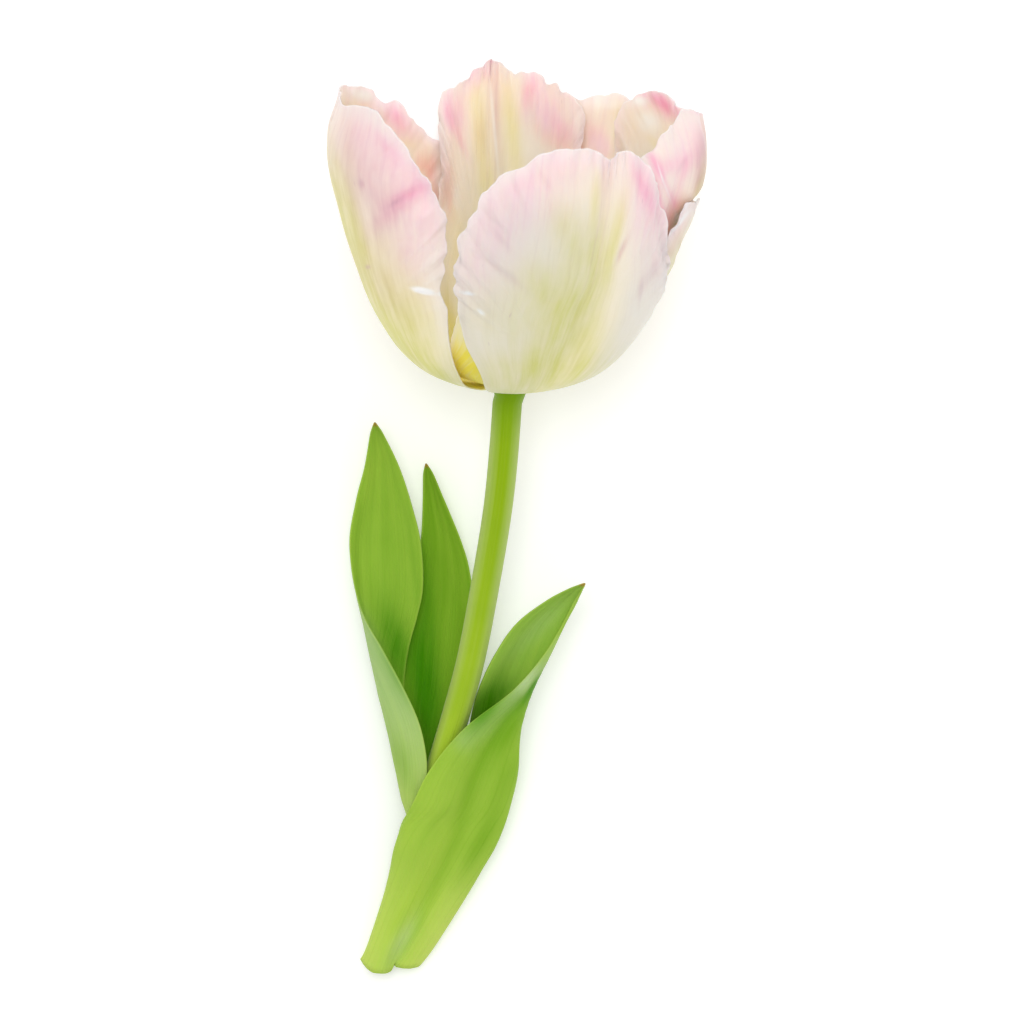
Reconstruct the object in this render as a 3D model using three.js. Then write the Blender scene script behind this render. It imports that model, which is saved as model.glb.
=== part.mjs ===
// A cut parrot tulip lying on its back: stem, three clasping leaves, six petals in two
// whorls, a pistil and six stamens. Millimetres, +Z up. The flower lies along +Y, its
// bloom at the +Y end, and the origin is the flat spot under the bloom that it rests on.

import * as THREE from 'three';

// ---- driving dimensions --------------------------------------------------------------

const BLOOM_BASE = [0.8, 0, 30.3];       // where the petals spring, above the surface
const BLOOM_TILT = 16;                  // degrees that the bloom's axis rises from it
const BLOOM_LEAN = 1.4;                 // degrees that the axis leans towards +X
const REST_SPOT = [1.5, 62];            // x and y of the flat spot, from the bloom's base

const PETAL_THICKNESS = 0.7;
const PETAL_COLUMNS = 30;
const PETAL_ROWS = 12;
const LEAF_THICKNESS = 0.8;
const GAP = 0.3;                        // clearance that neighbouring pieces keep

// The cup that the outer petals follow: length along a petal, radius, height.
const CUP = [
  [0, 3.4, -0.1], [5.6, 9, 0.3], [11.7, 15, 1.8], [21.2, 23.3, 5.2], [29.3, 29.4, 10.4],
  [35.8, 33.2, 15.6], [45, 37.6, 23.4], [55, 41.2, 32.6], [63.8, 44.1, 41], [72.1, 46.3, 49],
  [79.4, 48.2, 56], [86.6, 49.5, 63], [93.6, 50, 70], [106, 49.4, 82],
];
const INNER_DEPTH_AT_BASE = 1.3;        // how far the inner whorl lies inside the cup
const INNER_DEPTH = 2.8;
const INNER_DEPTH_REACHED = 25;         // the length along a petal where it is reached

// Each petal: azimuth of its midrib and the angles to its two margins, all against the
// length along the petal, then the length of the petal across its width, from the margin
// at -1 over the midrib at 0 to the margin at 1. Azimuth 0 faces up, 90 faces +X.
// curl: how far the two margins turn in, and between which lengths that begins.
// turnIn: how far the rim turns in. flare: how far the petal swells out along its length.
// waveOut: how far each margin waves out, in parts of WAVE_HEIGHT; below 0 it waves in.
// waves: how many waves run across the rim and up a margin, starting at phase.
const PETALS = [
  {
    name: 'petal_outer_front',
    inner: false,
    midrib: [[0, 24], [25, 21], [49, 24], [63, 28], [98, 29]],
    low: [[0, 50], [27, 36], [44, 43], [58, 46], [66, 48], [74, 47], [100, 45]],
    high: [[0, 48], [20, 56], [32, 60], [45, 58], [55, 47], [63, 35.5], [71, 30], [100, 28]],
    rim: [
      [-1, 67], [-0.92, 78.5], [-0.82, 86.5], [-0.72, 90.5], [-0.6, 94], [-0.44, 98.6],
      [-0.3, 99.4], [-0.1, 98.2], [0, 94.6], [0.13, 97], [0.25, 97.2], [0.45, 93.5],
      [0.62, 88], [0.8, 80], [0.92, 74], [1, 66],
    ],
    curl: [0.2, -1.6, 40, 62],
    turnIn: 1.2,
    flare: [[0, 0], [100, 0]],
    waveOut: [1, 1],
    waves: [4.5, 3],
    phase: 0.4,
  },
  {
    name: 'petal_outer_left',
    inner: false,
    midrib: [[0, -96], [30, -90], [60, -88], [100, -88]],
    low: [[0, 50], [29, 58], [52, 62], [77, 64], [100, 62]],
    high: [[0, 50], [29, 62], [45, 61], [57, 58.5], [69, 63], [77, 64], [100, 63.5]],
    rim: [
      [-1, 78], [-0.92, 82.5], [-0.85, 86], [-0.7, 90.5], [-0.6, 94.5], [-0.45, 98],
      [-0.31, 100], [0, 101.5], [0.24, 101], [0.42, 101], [0.57, 99], [0.68, 95.8],
      [0.83, 89.5], [0.9, 85.5], [0.96, 81.5], [1, 76],
    ],
    curl: [0.8, 4.4, 30, 60],
    turnIn: 3.4,
    flare: [[0, 0], [100, 0]],
    waveOut: [1, 1],
    waves: [5, 3],
    phase: 0.1,
  },
  {
    name: 'petal_outer_back',
    inner: false,
    midrib: [[0, 144], [30, 142], [100, 140]],
    low: [[0, 50], [29, 50], [46, 54], [55, 70], [63, 79], [72, 78], [100, 77]],
    high: [[0, 50], [29, 52], [45, 60], [75, 62], [100, 60]],
    rim: [
      [-1, 69], [-0.94, 72], [-0.8, 73], [-0.6, 73.6], [-0.42, 79], [-0.2, 86], [0, 90],
      [0.16, 92], [0.28, 90.5], [0.45, 90], [0.65, 88], [0.82, 83], [1, 70],
    ],
    curl: [0.6, 0.2, 30, 50],
    turnIn: -0.8,
    flare: [[0, 0], [100, 0]],
    waveOut: [0, 0.6],
    waves: [4.5, 2],
    phase: 0.7,
  },
  {
    name: 'petal_inner_right',
    inner: true,
    midrib: [[0, 84], [30, 88], [60, 91], [100, 92]],
    low: [[0, 50], [30, 46], [60, 46], [100, 47]],
    high: [[0, 50], [30, 50], [60, 52], [100, 52]],
    rim: [
      [-1, 87], [-0.95, 95], [-0.88, 99.5], [-0.7, 102], [-0.5, 103], [-0.3, 101],
      [0, 99], [0.15, 97.4], [0.3, 96.4], [0.38, 98], [0.5, 99.4], [0.63, 99.2],
      [0.75, 97.6], [0.86, 95], [0.94, 92], [1, 86],
    ],
    curl: [0.6, 0.4, 40, 66],
    turnIn: 2.4,
    flare: [[0, 0], [71, 0], [80, 3.4], [90, 3.6], [100, 3.4]],
    waveOut: [-1, -1],
    waves: [4, 2],
    phase: 0.25,
  },
  {
    name: 'petal_inner_back',
    inner: true,
    midrib: [[0, 204], [30, 198], [63, 189], [98, 188]],
    low: [[0, 50], [30, 46], [47, 36], [64, 28], [100, 27]],
    high: [[0, 50], [30, 44], [47, 34], [64, 20], [72, 18.5], [85, 17.5], [100, 17]],
    rim: [
      [-1, 86], [-0.9, 90.5], [-0.78, 93], [-0.64, 95.4], [-0.46, 98], [-0.25, 97.4],
      [-0.1, 99.4], [0, 101.3], [0.12, 100.6], [0.35, 98.6], [0.6, 95.4], [0.9, 91],
      [1, 86],
    ],
    curl: [0.4, -0.3, 40, 66],
    turnIn: -0.6,
    flare: [[0, 0], [100, 0]],
    waveOut: [-1, -1],
    waves: [3, 2],
    phase: 0.6,
  },
  {
    name: 'petal_inner_front',
    inner: true,
    midrib: [[0, -36], [20, -20], [38, 2], [60, 8], [90, 8]],
    low: [[0, 50], [20, 37], [38, 31], [60, 27], [90, 25]],
    high: [[0, 50], [20, 38], [38, 26], [60, 27], [90, 25]],
    rim: [[-1, 66], [-0.8, 80], [-0.5, 87], [-0.12, 90], [0, 88.5], [0.12, 90], [0.5, 87],
      [0.8, 80], [1, 66]],
    curl: [0.4, 0.4, 40, 66],
    turnIn: 1.5,
    flare: [[0, 0], [100, 0]],
    waveOut: [-1, -1],
    waves: [3, 2],
    phase: 0.9,
  },
];
const CURL_POWER = 2.5;                 // keeps the curl near the margins
const WAVE_HEIGHT = 1.5;                // how far a margin waves out of the petal
const WAVE_REACH = 11;                  // how far in from the margin the waves run
const WAVE_LENGTHS = [45, 70];          // lengths between which the waves grow
const TURN_REACH = 16;                  // how far down from the rim it turns in or out
const FLARE_MIDDLE = -0.15;             // where across a petal its flare is fullest
const FLARE_FULL = 0.15;
const FLARE_ENDS = 0.45;
const RIM_LOBES = 10;                   // lobes that the rim of each petal is cut into
const LOBE_UNEVEN = 0.01;               // how unevenly wide they are
const NOTCH_DEPTH = 1.3;                // how deep the notches between them are
const MIDRIB_GROOVE = 0.6;
const MIDRIB_GROOVE_WIDTH = 4;
const GROOVE_LENGTHS = [15, 40];        // lengths between which the groove deepens
const CROWDING = 0.45;                  // how much closer the columns lie near the margins

// The stem's centre line from the cut end to the bloom: x, y, z and radius.
const STEM = [
  [-35.2, -153.8, 3.9, 2.4], [-28.4, -134.7, 6.6, 2.7], [-23, -118.3, 9.5, 2.95],
  [-17.8, -100.6, 12.6, 3.5], [-13, -84.8, 15.4, 3.65], [-9.5, -71.8, 17.8, 3.7],
  [-5.9, -53.3, 21, 3.75], [-2.1, -29.9, 24.7, 3.8], [-0.8, -16.9, 26.8, 3.85],
  [0.1, -4.5, 29.1, 3.85],
];
const STEM_SIDES = 12;
const STEM_RINGS = 22;
const SHEATH_SLANT = 1.07;              // a level cut through the leaning stem is wider

// ---- small mathematics ---------------------------------------------------------------

const radians = THREE.MathUtils.degToRad;
const smooth = (x, from, to) => THREE.MathUtils.smoothstep(x, from, to);

// A smooth curve through points, x against the given column, with no bump of its own.
function curveThrough(points, column = 1) {
  const xs = points.map((p) => p[0]);
  const ys = points.map((p) => p[column]);
  const last = xs.length - 1;
  const secants = xs.slice(1).map((x, i) => (ys[i + 1] - ys[i]) / (x - xs[i]));
  const slopes = xs.map((x, i) => {
    if (i === 0) return secants[0];
    if (i === last) return secants[last - 1];
    const product = secants[i - 1] * secants[i];
    return product <= 0 ? 0 : (2 * product) / (secants[i - 1] + secants[i]);
  });
  return (x) => {
    let i = 0;
    while (i < last - 1 && x > xs[i + 1]) i += 1;
    const span = xs[i + 1] - xs[i];
    const t = THREE.MathUtils.clamp((x - xs[i]) / span, 0, 1);
    const rest = 1 - t;
    return (1 + 2 * t) * rest * rest * ys[i] + t * rest * rest * span * slopes[i]
      + t * t * (3 - 2 * t) * ys[i + 1] - t * t * rest * span * slopes[i + 1];
  };
}

// ---- closed meshes -------------------------------------------------------------------

function meshOf(name, material, positions, triangles) {
  const geometry = new THREE.BufferGeometry();
  const flat = positions.flatMap((p) => [p.x, p.y, p.z]);
  geometry.setAttribute('position', new THREE.Float32BufferAttribute(flat, 3));
  geometry.setIndex(triangles);
  geometry.computeVertexNormals();
  const mesh = new THREE.Mesh(geometry, material);
  mesh.name = name;
  return mesh;
}

// A thin blade: the same grid of points on its back face and its front face, split into
// the same triangles, and a wall of quads round the edge. The back face points out where
// columns run to the right and rows run away from the eye that looks at it.
function blade(name, material, back, front) {
  const rows = back.length;
  const columns = back[0].length;
  const positions = [...back.flat(), ...front.flat()];
  const triangles = [];
  const at = (side, row, column) => side * rows * columns + row * columns + column;
  for (let row = 0; row < rows - 1; row += 1) {
    for (let column = 0; column < columns - 1; column += 1) {
      for (const side of [0, 1]) {
        const a = at(side, row, column);
        const b = at(side, row, column + 1);
        const c = at(side, row + 1, column + 1);
        const d = at(side, row + 1, column);
        if (side === 0) triangles.push(a, b, c, a, c, d);
        else triangles.push(a, c, b, a, d, c);
      }
    }
  }
  const edge = [];
  for (let column = 0; column < columns - 1; column += 1) edge.push([0, column]);
  for (let row = 0; row < rows - 1; row += 1) edge.push([row, columns - 1]);
  for (let column = columns - 1; column > 0; column -= 1) edge.push([rows - 1, column]);
  for (let row = rows - 1; row > 0; row -= 1) edge.push([row, 0]);
  edge.forEach(([row, column], i) => {
    const [nextRow, nextColumn] = edge[(i + 1) % edge.length];
    const a = at(0, row, column);
    const b = at(0, nextRow, nextColumn);
    const c = at(1, nextRow, nextColumn);
    const d = at(1, row, column);
    triangles.push(b, a, d, b, d, c);
  });
  return meshOf(name, material, positions, triangles);
}

// A solid through closed rings of equal count, each running clockwise as seen from
// the last ring, with a fan at each end.
function loft(name, material, rings) {
  const sides = rings[0].length;
  const positions = rings.flat();
  const triangles = [];
  for (let ring = 0; ring < rings.length - 1; ring += 1) {
    for (let side = 0; side < sides; side += 1) {
      const next = (side + 1) % sides;
      const a = ring * sides + side;
      const b = ring * sides + next;
      triangles.push(a, b + sides, b, a, a + sides, b + sides);
    }
  }
  for (const [ring, up] of [[0, false], [rings.length - 1, true]]) {
    const centre = rings[ring].reduce((sum, p) => sum.add(p), new THREE.Vector3());
    const middle = positions.push(centre.divideScalar(sides)) - 1;
    for (let side = 0; side < sides; side += 1) {
      const a = ring * sides + side;
      const b = ring * sides + (side + 1) % sides;
      if (up) triangles.push(middle, b, a);
      else triangles.push(middle, a, b);
    }
  }
  return meshOf(name, material, positions, triangles);
}

// The front face of a blade, set off from its back face along the surface normals.
function offsetGrid(grid, distance) {
  return grid.map((line, row) => line.map((point, column) => {
    const across = grid[row][Math.min(column + 1, line.length - 1)].clone()
      .sub(grid[row][Math.max(column - 1, 0)]);
    const along = grid[Math.min(row + 1, grid.length - 1)][column].clone()
      .sub(grid[Math.max(row - 1, 0)][column]);
    const normal = across.cross(along).normalize();
    return point.clone().addScaledVector(normal, -distance);
  }));
}

// ---- the bloom's own frame -----------------------------------------------------------

const bloomBase = new THREE.Vector3(...BLOOM_BASE);
const bloomAxis = new THREE.Vector3(
  Math.sin(radians(BLOOM_LEAN)) * Math.cos(radians(BLOOM_TILT)),
  Math.cos(radians(BLOOM_LEAN)) * Math.cos(radians(BLOOM_TILT)),
  Math.sin(radians(BLOOM_TILT)),
);
const bloomUp = new THREE.Vector3(0, 0, 1).addScaledVector(bloomAxis, -bloomAxis.z).normalize();
const bloomSide = bloomAxis.clone().cross(bloomUp);

// A point of the bloom from its azimuth in degrees, its radius and its height on the axis.
function inBloom(azimuth, radius, height) {
  return bloomBase.clone()
    .addScaledVector(bloomAxis, height)
    .addScaledVector(bloomUp, radius * Math.cos(radians(azimuth)))
    .addScaledVector(bloomSide, radius * Math.sin(radians(azimuth)));
}

// ---- petals --------------------------------------------------------------------------

const cupRadius = curveThrough(CUP, 1);
const cupHeight = curveThrough(CUP, 2);

// The point on a petal's back (outer) face, across from -1 to 1 and along from 0 to 1.
function petalSurface(petal) {
  const midrib = curveThrough(petal.midrib);
  const low = curveThrough(petal.low);
  const high = curveThrough(petal.high);
  const rim = curveThrough(petal.rim);
  const flare = curveThrough(petal.flare);
  return (across, along) => {
    const lobe = RIM_LOBES * ((across + 1) / 2 + LOBE_UNEVEN * Math.sin(9 * across + petal.phase));
    const notch = (2 * Math.abs(lobe - Math.floor(lobe) - 0.5)) ** 2;
    const length = rim(across) - NOTCH_DEPTH * notch;
    const s = along * length;
    const angle = across < 0 ? low(s) : high(s);
    const step = 0.05;
    const slope = (cupRadius(s + step) - cupRadius(s - step))
      / Math.max(cupHeight(s + step) - cupHeight(s - step), 1e-3);
    const norm = Math.hypot(1, slope);
    const radius = cupRadius(s);
    const toSide = (1 - Math.abs(across)) * radians(angle) * radius;
    const toRim = length - s;
    const nearEdge = Math.max(1 - Math.min(toSide, toRim) / WAVE_REACH, 0);
    const turns = petal.waves[0] * across * 0.5
      + petal.waves[1] * along * Math.tanh(4 * across) + petal.phase;
    const waveOut = THREE.MathUtils.lerp(...petal.waveOut, smooth(across, -0.5, 0.5));
    const wave = WAVE_HEIGHT * waveOut * nearEdge * nearEdge * smooth(s, ...WAVE_LENGTHS)
      * (0.5 - 0.5 * Math.cos(2 * Math.PI * turns));
    const curl = petal.curl[across < 0 ? 0 : 1] * Math.abs(across) ** CURL_POWER
      * smooth(s, petal.curl[2], petal.curl[3]);
    const fromMidrib = across * radians(angle) * radius;
    const groove = MIDRIB_GROOVE * Math.exp(-((fromMidrib / MIDRIB_GROOVE_WIDTH) ** 2))
      * smooth(s, ...GROOVE_LENGTHS);
    const bulge = flare(s) * (1 - smooth(Math.abs(across - FLARE_MIDDLE), FLARE_FULL, FLARE_ENDS));
    const turnIn = petal.turnIn * smooth(1 - toRim / TURN_REACH, 0, 1);
    let depth = curl + groove - wave - bulge + turnIn;
    if (petal.inner) {
      depth += INNER_DEPTH_AT_BASE
        + (INNER_DEPTH - INNER_DEPTH_AT_BASE) * smooth(s, 0, INNER_DEPTH_REACHED);
    }
    return inBloom(
      midrib(s) + across * angle,
      radius - depth / norm,
      cupHeight(s) + (depth * slope) / norm,
    );
  };
}

function petalMesh(petal, material) {
  const surface = petalSurface(petal);
  const back = [];
  for (let row = 0; row <= PETAL_ROWS; row += 1) {
    const line = [];
    for (let column = 0; column <= PETAL_COLUMNS; column += 1) {
      const t = (2 * column) / PETAL_COLUMNS - 1;
      const across = THREE.MathUtils.lerp(t, Math.sin((Math.PI * t) / 2), CROWDING);
      line.push(surface(across, row / PETAL_ROWS));
    }
    back.push(line);
  }
  const front = offsetGrid(back, PETAL_THICKNESS);
  // What would reach below the surface is pressed flat on it, and inner petals on outer ones.
  const floor = petal.inner ? PETAL_THICKNESS + GAP : 0;
  back.flat().forEach((p) => { p.z = Math.max(p.z, floor); });
  front.flat().forEach((p) => { p.z = Math.max(p.z, floor + PETAL_THICKNESS); });
  return blade(petal.name, material, back, front);
}

// ---- stem ----------------------------------------------------------------------------

const stemOrder = STEM.map((p) => [p[1], p[0], p[2], p[3]]);
const stemX = curveThrough(stemOrder, 1);
const stemZ = curveThrough(stemOrder, 2);
const stemRadius = curveThrough(stemOrder, 3);

function ringAround(centre, direction, radius, sides) {
  const side = new THREE.Vector3(0, 0, 1).cross(direction).negate().normalize();
  const up = side.clone().cross(direction).normalize();
  return Array.from({ length: sides }, (_, i) => {
    const angle = (-2 * Math.PI * i) / sides;
    return centre.clone()
      .addScaledVector(up, radius * Math.cos(angle))
      .addScaledVector(side, radius * Math.sin(angle));
  });
}

// The stem widens into the receptacle, whose shoulder carries the outer petals and whose
// boss carries the inner ones and the pistil. [height on the bloom's axis, radius].
const RECEPTACLE = [[-2.6, 4], [-1.3, 4.5], [-0.45, 4.3], [-0.42, 3.05], [2.1, 2.9]];
const BOSS_TOP = 2.1;

function stemMesh(material) {
  const centres = [];
  const from = STEM[0][1];
  const to = STEM[STEM.length - 1][1];
  for (let i = 0; i <= STEM_RINGS; i += 1) {
    const y = from + ((to - from) * i) / STEM_RINGS;
    centres.push([new THREE.Vector3(stemX(y), y, stemZ(y)), stemRadius(y)]);
  }
  const rings = centres.map(([centre, radius], i) => {
    const next = centres[Math.min(i + 1, STEM_RINGS)][0];
    const before = centres[Math.max(i - 1, 0)][0];
    const direction = next.clone().sub(before).normalize();
    return ringAround(centre, direction, radius, STEM_SIDES);
  });
  for (const [height, radius] of RECEPTACLE) {
    rings.push(ringAround(inBloom(0, 0, height), bloomAxis, radius, STEM_SIDES));
  }
  return loft('stem', material, rings);
}

// ---- leaves --------------------------------------------------------------------------

// A point round the stem where it crosses the level y: the angle in degrees runs from
// straight up towards +X, and clear is the distance from the stem's surface.
function roundStem(y, angle, clear) {
  const reach = stemRadius(y) + clear;
  return new THREE.Vector3(
    stemX(y) + reach * SHEATH_SLANT * Math.sin(radians(angle)),
    y,
    stemZ(y) + reach * Math.cos(radians(angle)),
  );
}

const FIRST_LAYER = GAP + LEAF_THICKNESS / 2;     // middle of a leaf that lies on the stem
const NEXT_LAYER = LEAF_THICKNESS + GAP;          // step to the leaf outside it

const sheath = (y, angles, clear) => angles.map((angle) => roundStem(y, angle, clear));
const section = (y, points) => points.map(([x, z]) => new THREE.Vector3(x, y, z));

// Cross-sections of each leaf's middle surface from its base to its tip, each from the
// margin that shows in front to the one behind.
const LEAF_LEFT = [
  sheath(-118, [-8, -50, -92, -135, -178], FIRST_LAYER + 0.15),
  sheath(-113.5, [-14, -55, -95, -135, -175], FIRST_LAYER + 0.25),
  section(-107.9, [[-22.2, 15.3], [-25.8, 13.9], [-27.4, 10.8], [-25, 7.7], [-20.8, 6.9]]),
  section(-100.6, [[-20.9, 16.4], [-26.6, 14.6], [-28.9, 10.8], [-26.5, 7.8], [-21.5, 7.1]]),
  section(-89.4, [[-22.6, 17], [-29.4, 14.2], [-31.3, 10], [-29, 7], [-25.5, 6.4]]),
  section(-79.6, [[-26.8, 16.8], [-32.5, 13.6], [-33.7, 9.6], [-31, 6.8], [-27, 6.2]]),
  section(-68.9, [[-32.6, 16], [-35.9, 12.8], [-35.2, 8.6], [-31, 6.4], [-25.8, 6.5]]),
  section(-60.6, [[-37.4, 14.8], [-37.7, 11.4], [-35, 7.8], [-29.6, 6.3], [-23.6, 7]]),
  section(-53.3, [[-39.7, 13.8], [-38.7, 10], [-34.4, 7], [-28.4, 6.2], [-22.1, 7.5]]),
  section(-40.6, [[-41.2, 12], [-38.7, 8.4], [-33.6, 6.2], [-28, 6.2], [-22.7, 8]]),
  section(-30.7, [[-39.7, 11.5], [-36.7, 8.7], [-32.7, 7], [-28.8, 7.2], [-25.1, 9]]),
  section(-21.1, [[-37.3, 12], [-35.2, 10], [-32.9, 8.9], [-30.6, 9], [-28.3, 10.4]]),
  section(-13.8, [[-36, 12.8], [-35, 11.8], [-34, 11.2], [-32.9, 11.2], [-31.8, 12]]),
  section(-9.6, [[-35.2, 13.6], [-34.9, 13.3], [-34.6, 13.2], [-34.3, 13.3], [-34, 13.6]]),
];

const LEAF_MIDDLE = [
  sheath(-124.5, [213, 194, 175, 155, 135], FIRST_LAYER + 0.1),
  sheath(-119.3, [213, 194, 175, 155, 135], FIRST_LAYER + NEXT_LAYER + 0.1),
  section(-107.9, [[-26, 5.9], [-22.8, 5.5], [-19.4, 5.6], [-16.4, 6.2], [-13.8, 7.3]]),
  section(-100, [[-27.5, 5.4], [-23.5, 5], [-19.5, 5], [-16, 5.6], [-12.9, 6.9]]),
  section(-89.7, [[-28.3, 4.6], [-24, 4], [-20, 4], [-16.6, 4.7], [-13.6, 6.2]]),
  section(-77.5, [[-28.2, 4], [-23.6, 3.2], [-19, 3], [-14.4, 3.8], [-10.4, 5.7]]),
  section(-66.3, [[-27.8, 3.8], [-23.2, 2.8], [-18.5, 2.6], [-13.4, 3.3], [-8.8, 5.5]]),
  section(-55.9, [[-25.7, 3.8], [-21.6, 2.8], [-17.3, 2.5], [-12.9, 3.3], [-8.9, 5.6]]),
  section(-47.3, [[-24.2, 4], [-20.6, 3], [-16.9, 2.9], [-13.3, 3.8], [-10.1, 5.9]]),
  section(-40.6, [[-22.7, 4.5], [-19.8, 3.7], [-17.1, 3.6], [-14.4, 4.5], [-12.1, 6.3]]),
  section(-29.9, [[-22.1, 6], [-20.5, 5.3], [-19.1, 5.2], [-17.7, 5.8], [-16.5, 7]]),
  section(-23.4, [[-22, 7.6], [-21.3, 7.2], [-20.6, 7.1], [-19.9, 7.4], [-19.2, 8]]),
  section(-20.3, [[-21.8, 8.7], [-21.5, 8.5], [-21.3, 8.5], [-21, 8.5], [-20.7, 8.7]]),
];

// The right leaf's sections go on from the sheath over the crease beside the stem, the
// crown of the fold, its keel and the hollow behind.
const LEAF_RIGHT = [
  [
    ...sheath(-152.6, [-140, -85, -30, 25, 65], FIRST_LAYER + 0.15),
    ...section(-152.6, [[-26.9, 5.2], [-22.9, 3.2], [-27.4, 1.4], [-32.6, 0.7]]),
  ],
  [
    ...sheath(-134.7, [-145, -95, -40, 20], FIRST_LAYER + 0.35),
    ...section(-134.7, [[-21.4, 7.4], [-17, 8.3], [-11.5, 5.8], [-16.6, 1.5], [-24.5, 1.3]]),
  ],
  [
    ...sheath(-127, [-128, -82, -36, 14], FIRST_LAYER + 0.8),
    ...section(-127, [[-17.8, 8.8], [-12.8, 9.9], [-7.1, 7.1], [-12.2, 0.9], [-22, 1.4]]),
  ],
  [
    ...sheath(-120.9, [-112, -72, -31, 10], FIRST_LAYER + NEXT_LAYER + 0.4),
    ...section(-120.9, [[-14.6, 10], [-9.2, 11.2], [-3.5, 8.2], [-9.2, 0.5], [-19.6, 1.6]]),
  ],
  [
    ...sheath(-115.2, [-88, -56, -24, 8], FIRST_LAYER + NEXT_LAYER + 0.5),
    ...section(-115.2, [[-12.8, 11.5], [-6.5, 12.4], [-1.1, 9.2], [-6.6, 0.4], [-16.6, 1.6]]),
  ],
  section(-109.5, [[-24.8, 16], [-22.4, 17.1], [-19.6, 17.3], [-15.6, 16], [-10.9, 13.1],
    [-4.6, 13.9], [0.6, 10.2], [-4.2, 0.4], [-13.6, 1.8]]),
  section(-100.9, [[-20.5, 17.9], [-17, 18.9], [-13.6, 18.3], [-11, 17], [-8.1, 15.7],
    [-2.5, 15.8], [2.5, 12.2], [-2, 2.6], [-10.8, 3.2]]),
  section(-89.7, [[-11.4, 20.2], [-8.6, 20.3], [-6, 19.6], [-3.9, 18.5], [-1.8, 17.5],
    [1.3, 16.8], [3.4, 13.8], [-2.2, 8], [-10, 8.6]]),
  section(-79.3, [[1.8, 20.8], [2.8, 20.6], [3.7, 20], [4.5, 19.2], [5.3, 18.1], [6.2, 16.6],
    [6.4, 14.2], [-0.4, 11.3], [-7.4, 14.5]]),
  section(-70.2, [[9.6, 21], [10, 20.6], [10.3, 20.2], [10.6, 19.8], [10.8, 19.2], [11, 18.3],
    [10.8, 17], [3.5, 13.8], [-3.1, 16.8]]),
  section(-62.4, [[14.4, 21.4], [14.6, 21.1], [14.7, 20.8], [14.8, 20.5], [14.8, 20],
    [14.8, 19.4], [14.5, 18.6], [8.6, 16.2], [2.3, 18.4]]),
  section(-55.9, [[17.8, 22], [18, 21.8], [18.1, 21.6], [18.2, 21.4], [18.3, 21.1],
    [18.3, 20.8], [18.2, 20.4], [14.8, 19.3], [10.7, 20.2]]),
  section(-51.6, [[20.7, 23], [20.7, 22.8], [20.7, 22.6], [20.6, 22.5], [20.5, 22.4],
    [20.3, 22.3], [20, 22.3], [19.6, 22.3], [19.2, 22.5]]),
];

// A smooth surface through the cross-sections, sampled into a grid of points.
function leafGrid(sections, rows, columns) {
  const across = sections.map((points) => new THREE.CatmullRomCurve3(points, false, 'centripetal'));
  const lines = [];
  for (let column = 0; column <= columns; column += 1) {
    const through = across.map((curve) => curve.getPoint(column / columns));
    const along = new THREE.CatmullRomCurve3(through, false, 'centripetal');
    lines.push(Array.from({ length: rows + 1 }, (_, row) => along.getPoint(row / rows)));
  }
  return Array.from({ length: rows + 1 }, (_, row) => lines.map((line) => line[row]));
}

function leafMesh(name, material, sections, rows, columns) {
  const middle = leafGrid(sections, rows, columns);
  // What would reach below the surface lies on it.
  middle.flat().forEach((p) => { p.z = Math.max(p.z, LEAF_THICKNESS / 2); });
  const back = offsetGrid(middle, -LEAF_THICKNESS / 2);
  const front = offsetGrid(middle, LEAF_THICKNESS / 2);
  return blade(name, material, back, front);
}

// ---- pistil and stamens --------------------------------------------------------------

// A three-sided ovary with a three-lobed stigma on top: [height, radius, how three-sided].
const PISTIL = [
  [BOSS_TOP + GAP, 2.4, 0], [4, 3, 0.06], [8, 3.7, 0.12], [13, 3.7, 0.14], [18, 3.1, 0.16],
  [21, 2.7, 0.2], [22.5, 3.4, 0.34], [24.2, 5, 0.45], [25.4, 5, 0.45], [26, 3.2, 0.3],
];
const PISTIL_SIDES = 18;
const STAMENS = 6;
const FIRST_STAMEN = 24;                // azimuth
const STAMEN_SIDES = 8;
const STAMEN_BASE_RADIUS = 5.2;
const STAMEN_BASE_HEIGHT = 2.95;
const STAMEN_LEAN = 14;
const FILAMENT = [[0, 0.9], [6, 0.75], [12, 0.45]];
const ANTHER = [[0, 0.6], [1.2, 1.35], [6, 1.45], [11, 1.2], [12.5, 0.5]];

function pistilMesh(material) {
  const rings = PISTIL.map(([height, radius, lobed]) => (
    Array.from({ length: PISTIL_SIDES }, (_, i) => {
      const angle = -(360 * i) / PISTIL_SIDES;
      return inBloom(angle, radius * (1 + lobed * Math.cos(3 * radians(angle))), height);
    })
  ));
  return loft('pistil', material, rings);
}

// A round bar from a list of [distance along it, radius], standing on the bloom's floor.
function stamenBar(name, material, azimuth, start, profile) {
  const foot = inBloom(azimuth, STAMEN_BASE_RADIUS, STAMEN_BASE_HEIGHT);
  const outward = inBloom(azimuth, 1, 0).sub(bloomBase);
  const direction = bloomAxis.clone().multiplyScalar(Math.cos(radians(STAMEN_LEAN)))
    .addScaledVector(outward, Math.sin(radians(STAMEN_LEAN)));
  const rings = profile.map(([distance, radius]) => {
    const centre = foot.clone().addScaledVector(direction, start + distance);
    return ringAround(centre, direction, radius, STAMEN_SIDES);
  });
  return loft(name, material, rings);
}

// ---- the flower ----------------------------------------------------------------------

const finish = (color, roughness) => new THREE.MeshStandardMaterial({
  color,
  roughness,
  metalness: 0,
});

const stemGreen = finish(0xa5be4b, 0.5);
const leafGreen = finish(0x8ab548, 0.45);
const outerPink = finish(0xf2dde2, 0.55);
const innerPink = finish(0xf0d8d6, 0.55);
const pistilGreen = finish(0xd9d78a, 0.55);
const filamentCream = finish(0xe6dfa8, 0.55);
const antherYellow = finish(0xb59a4a, 0.8);

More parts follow.
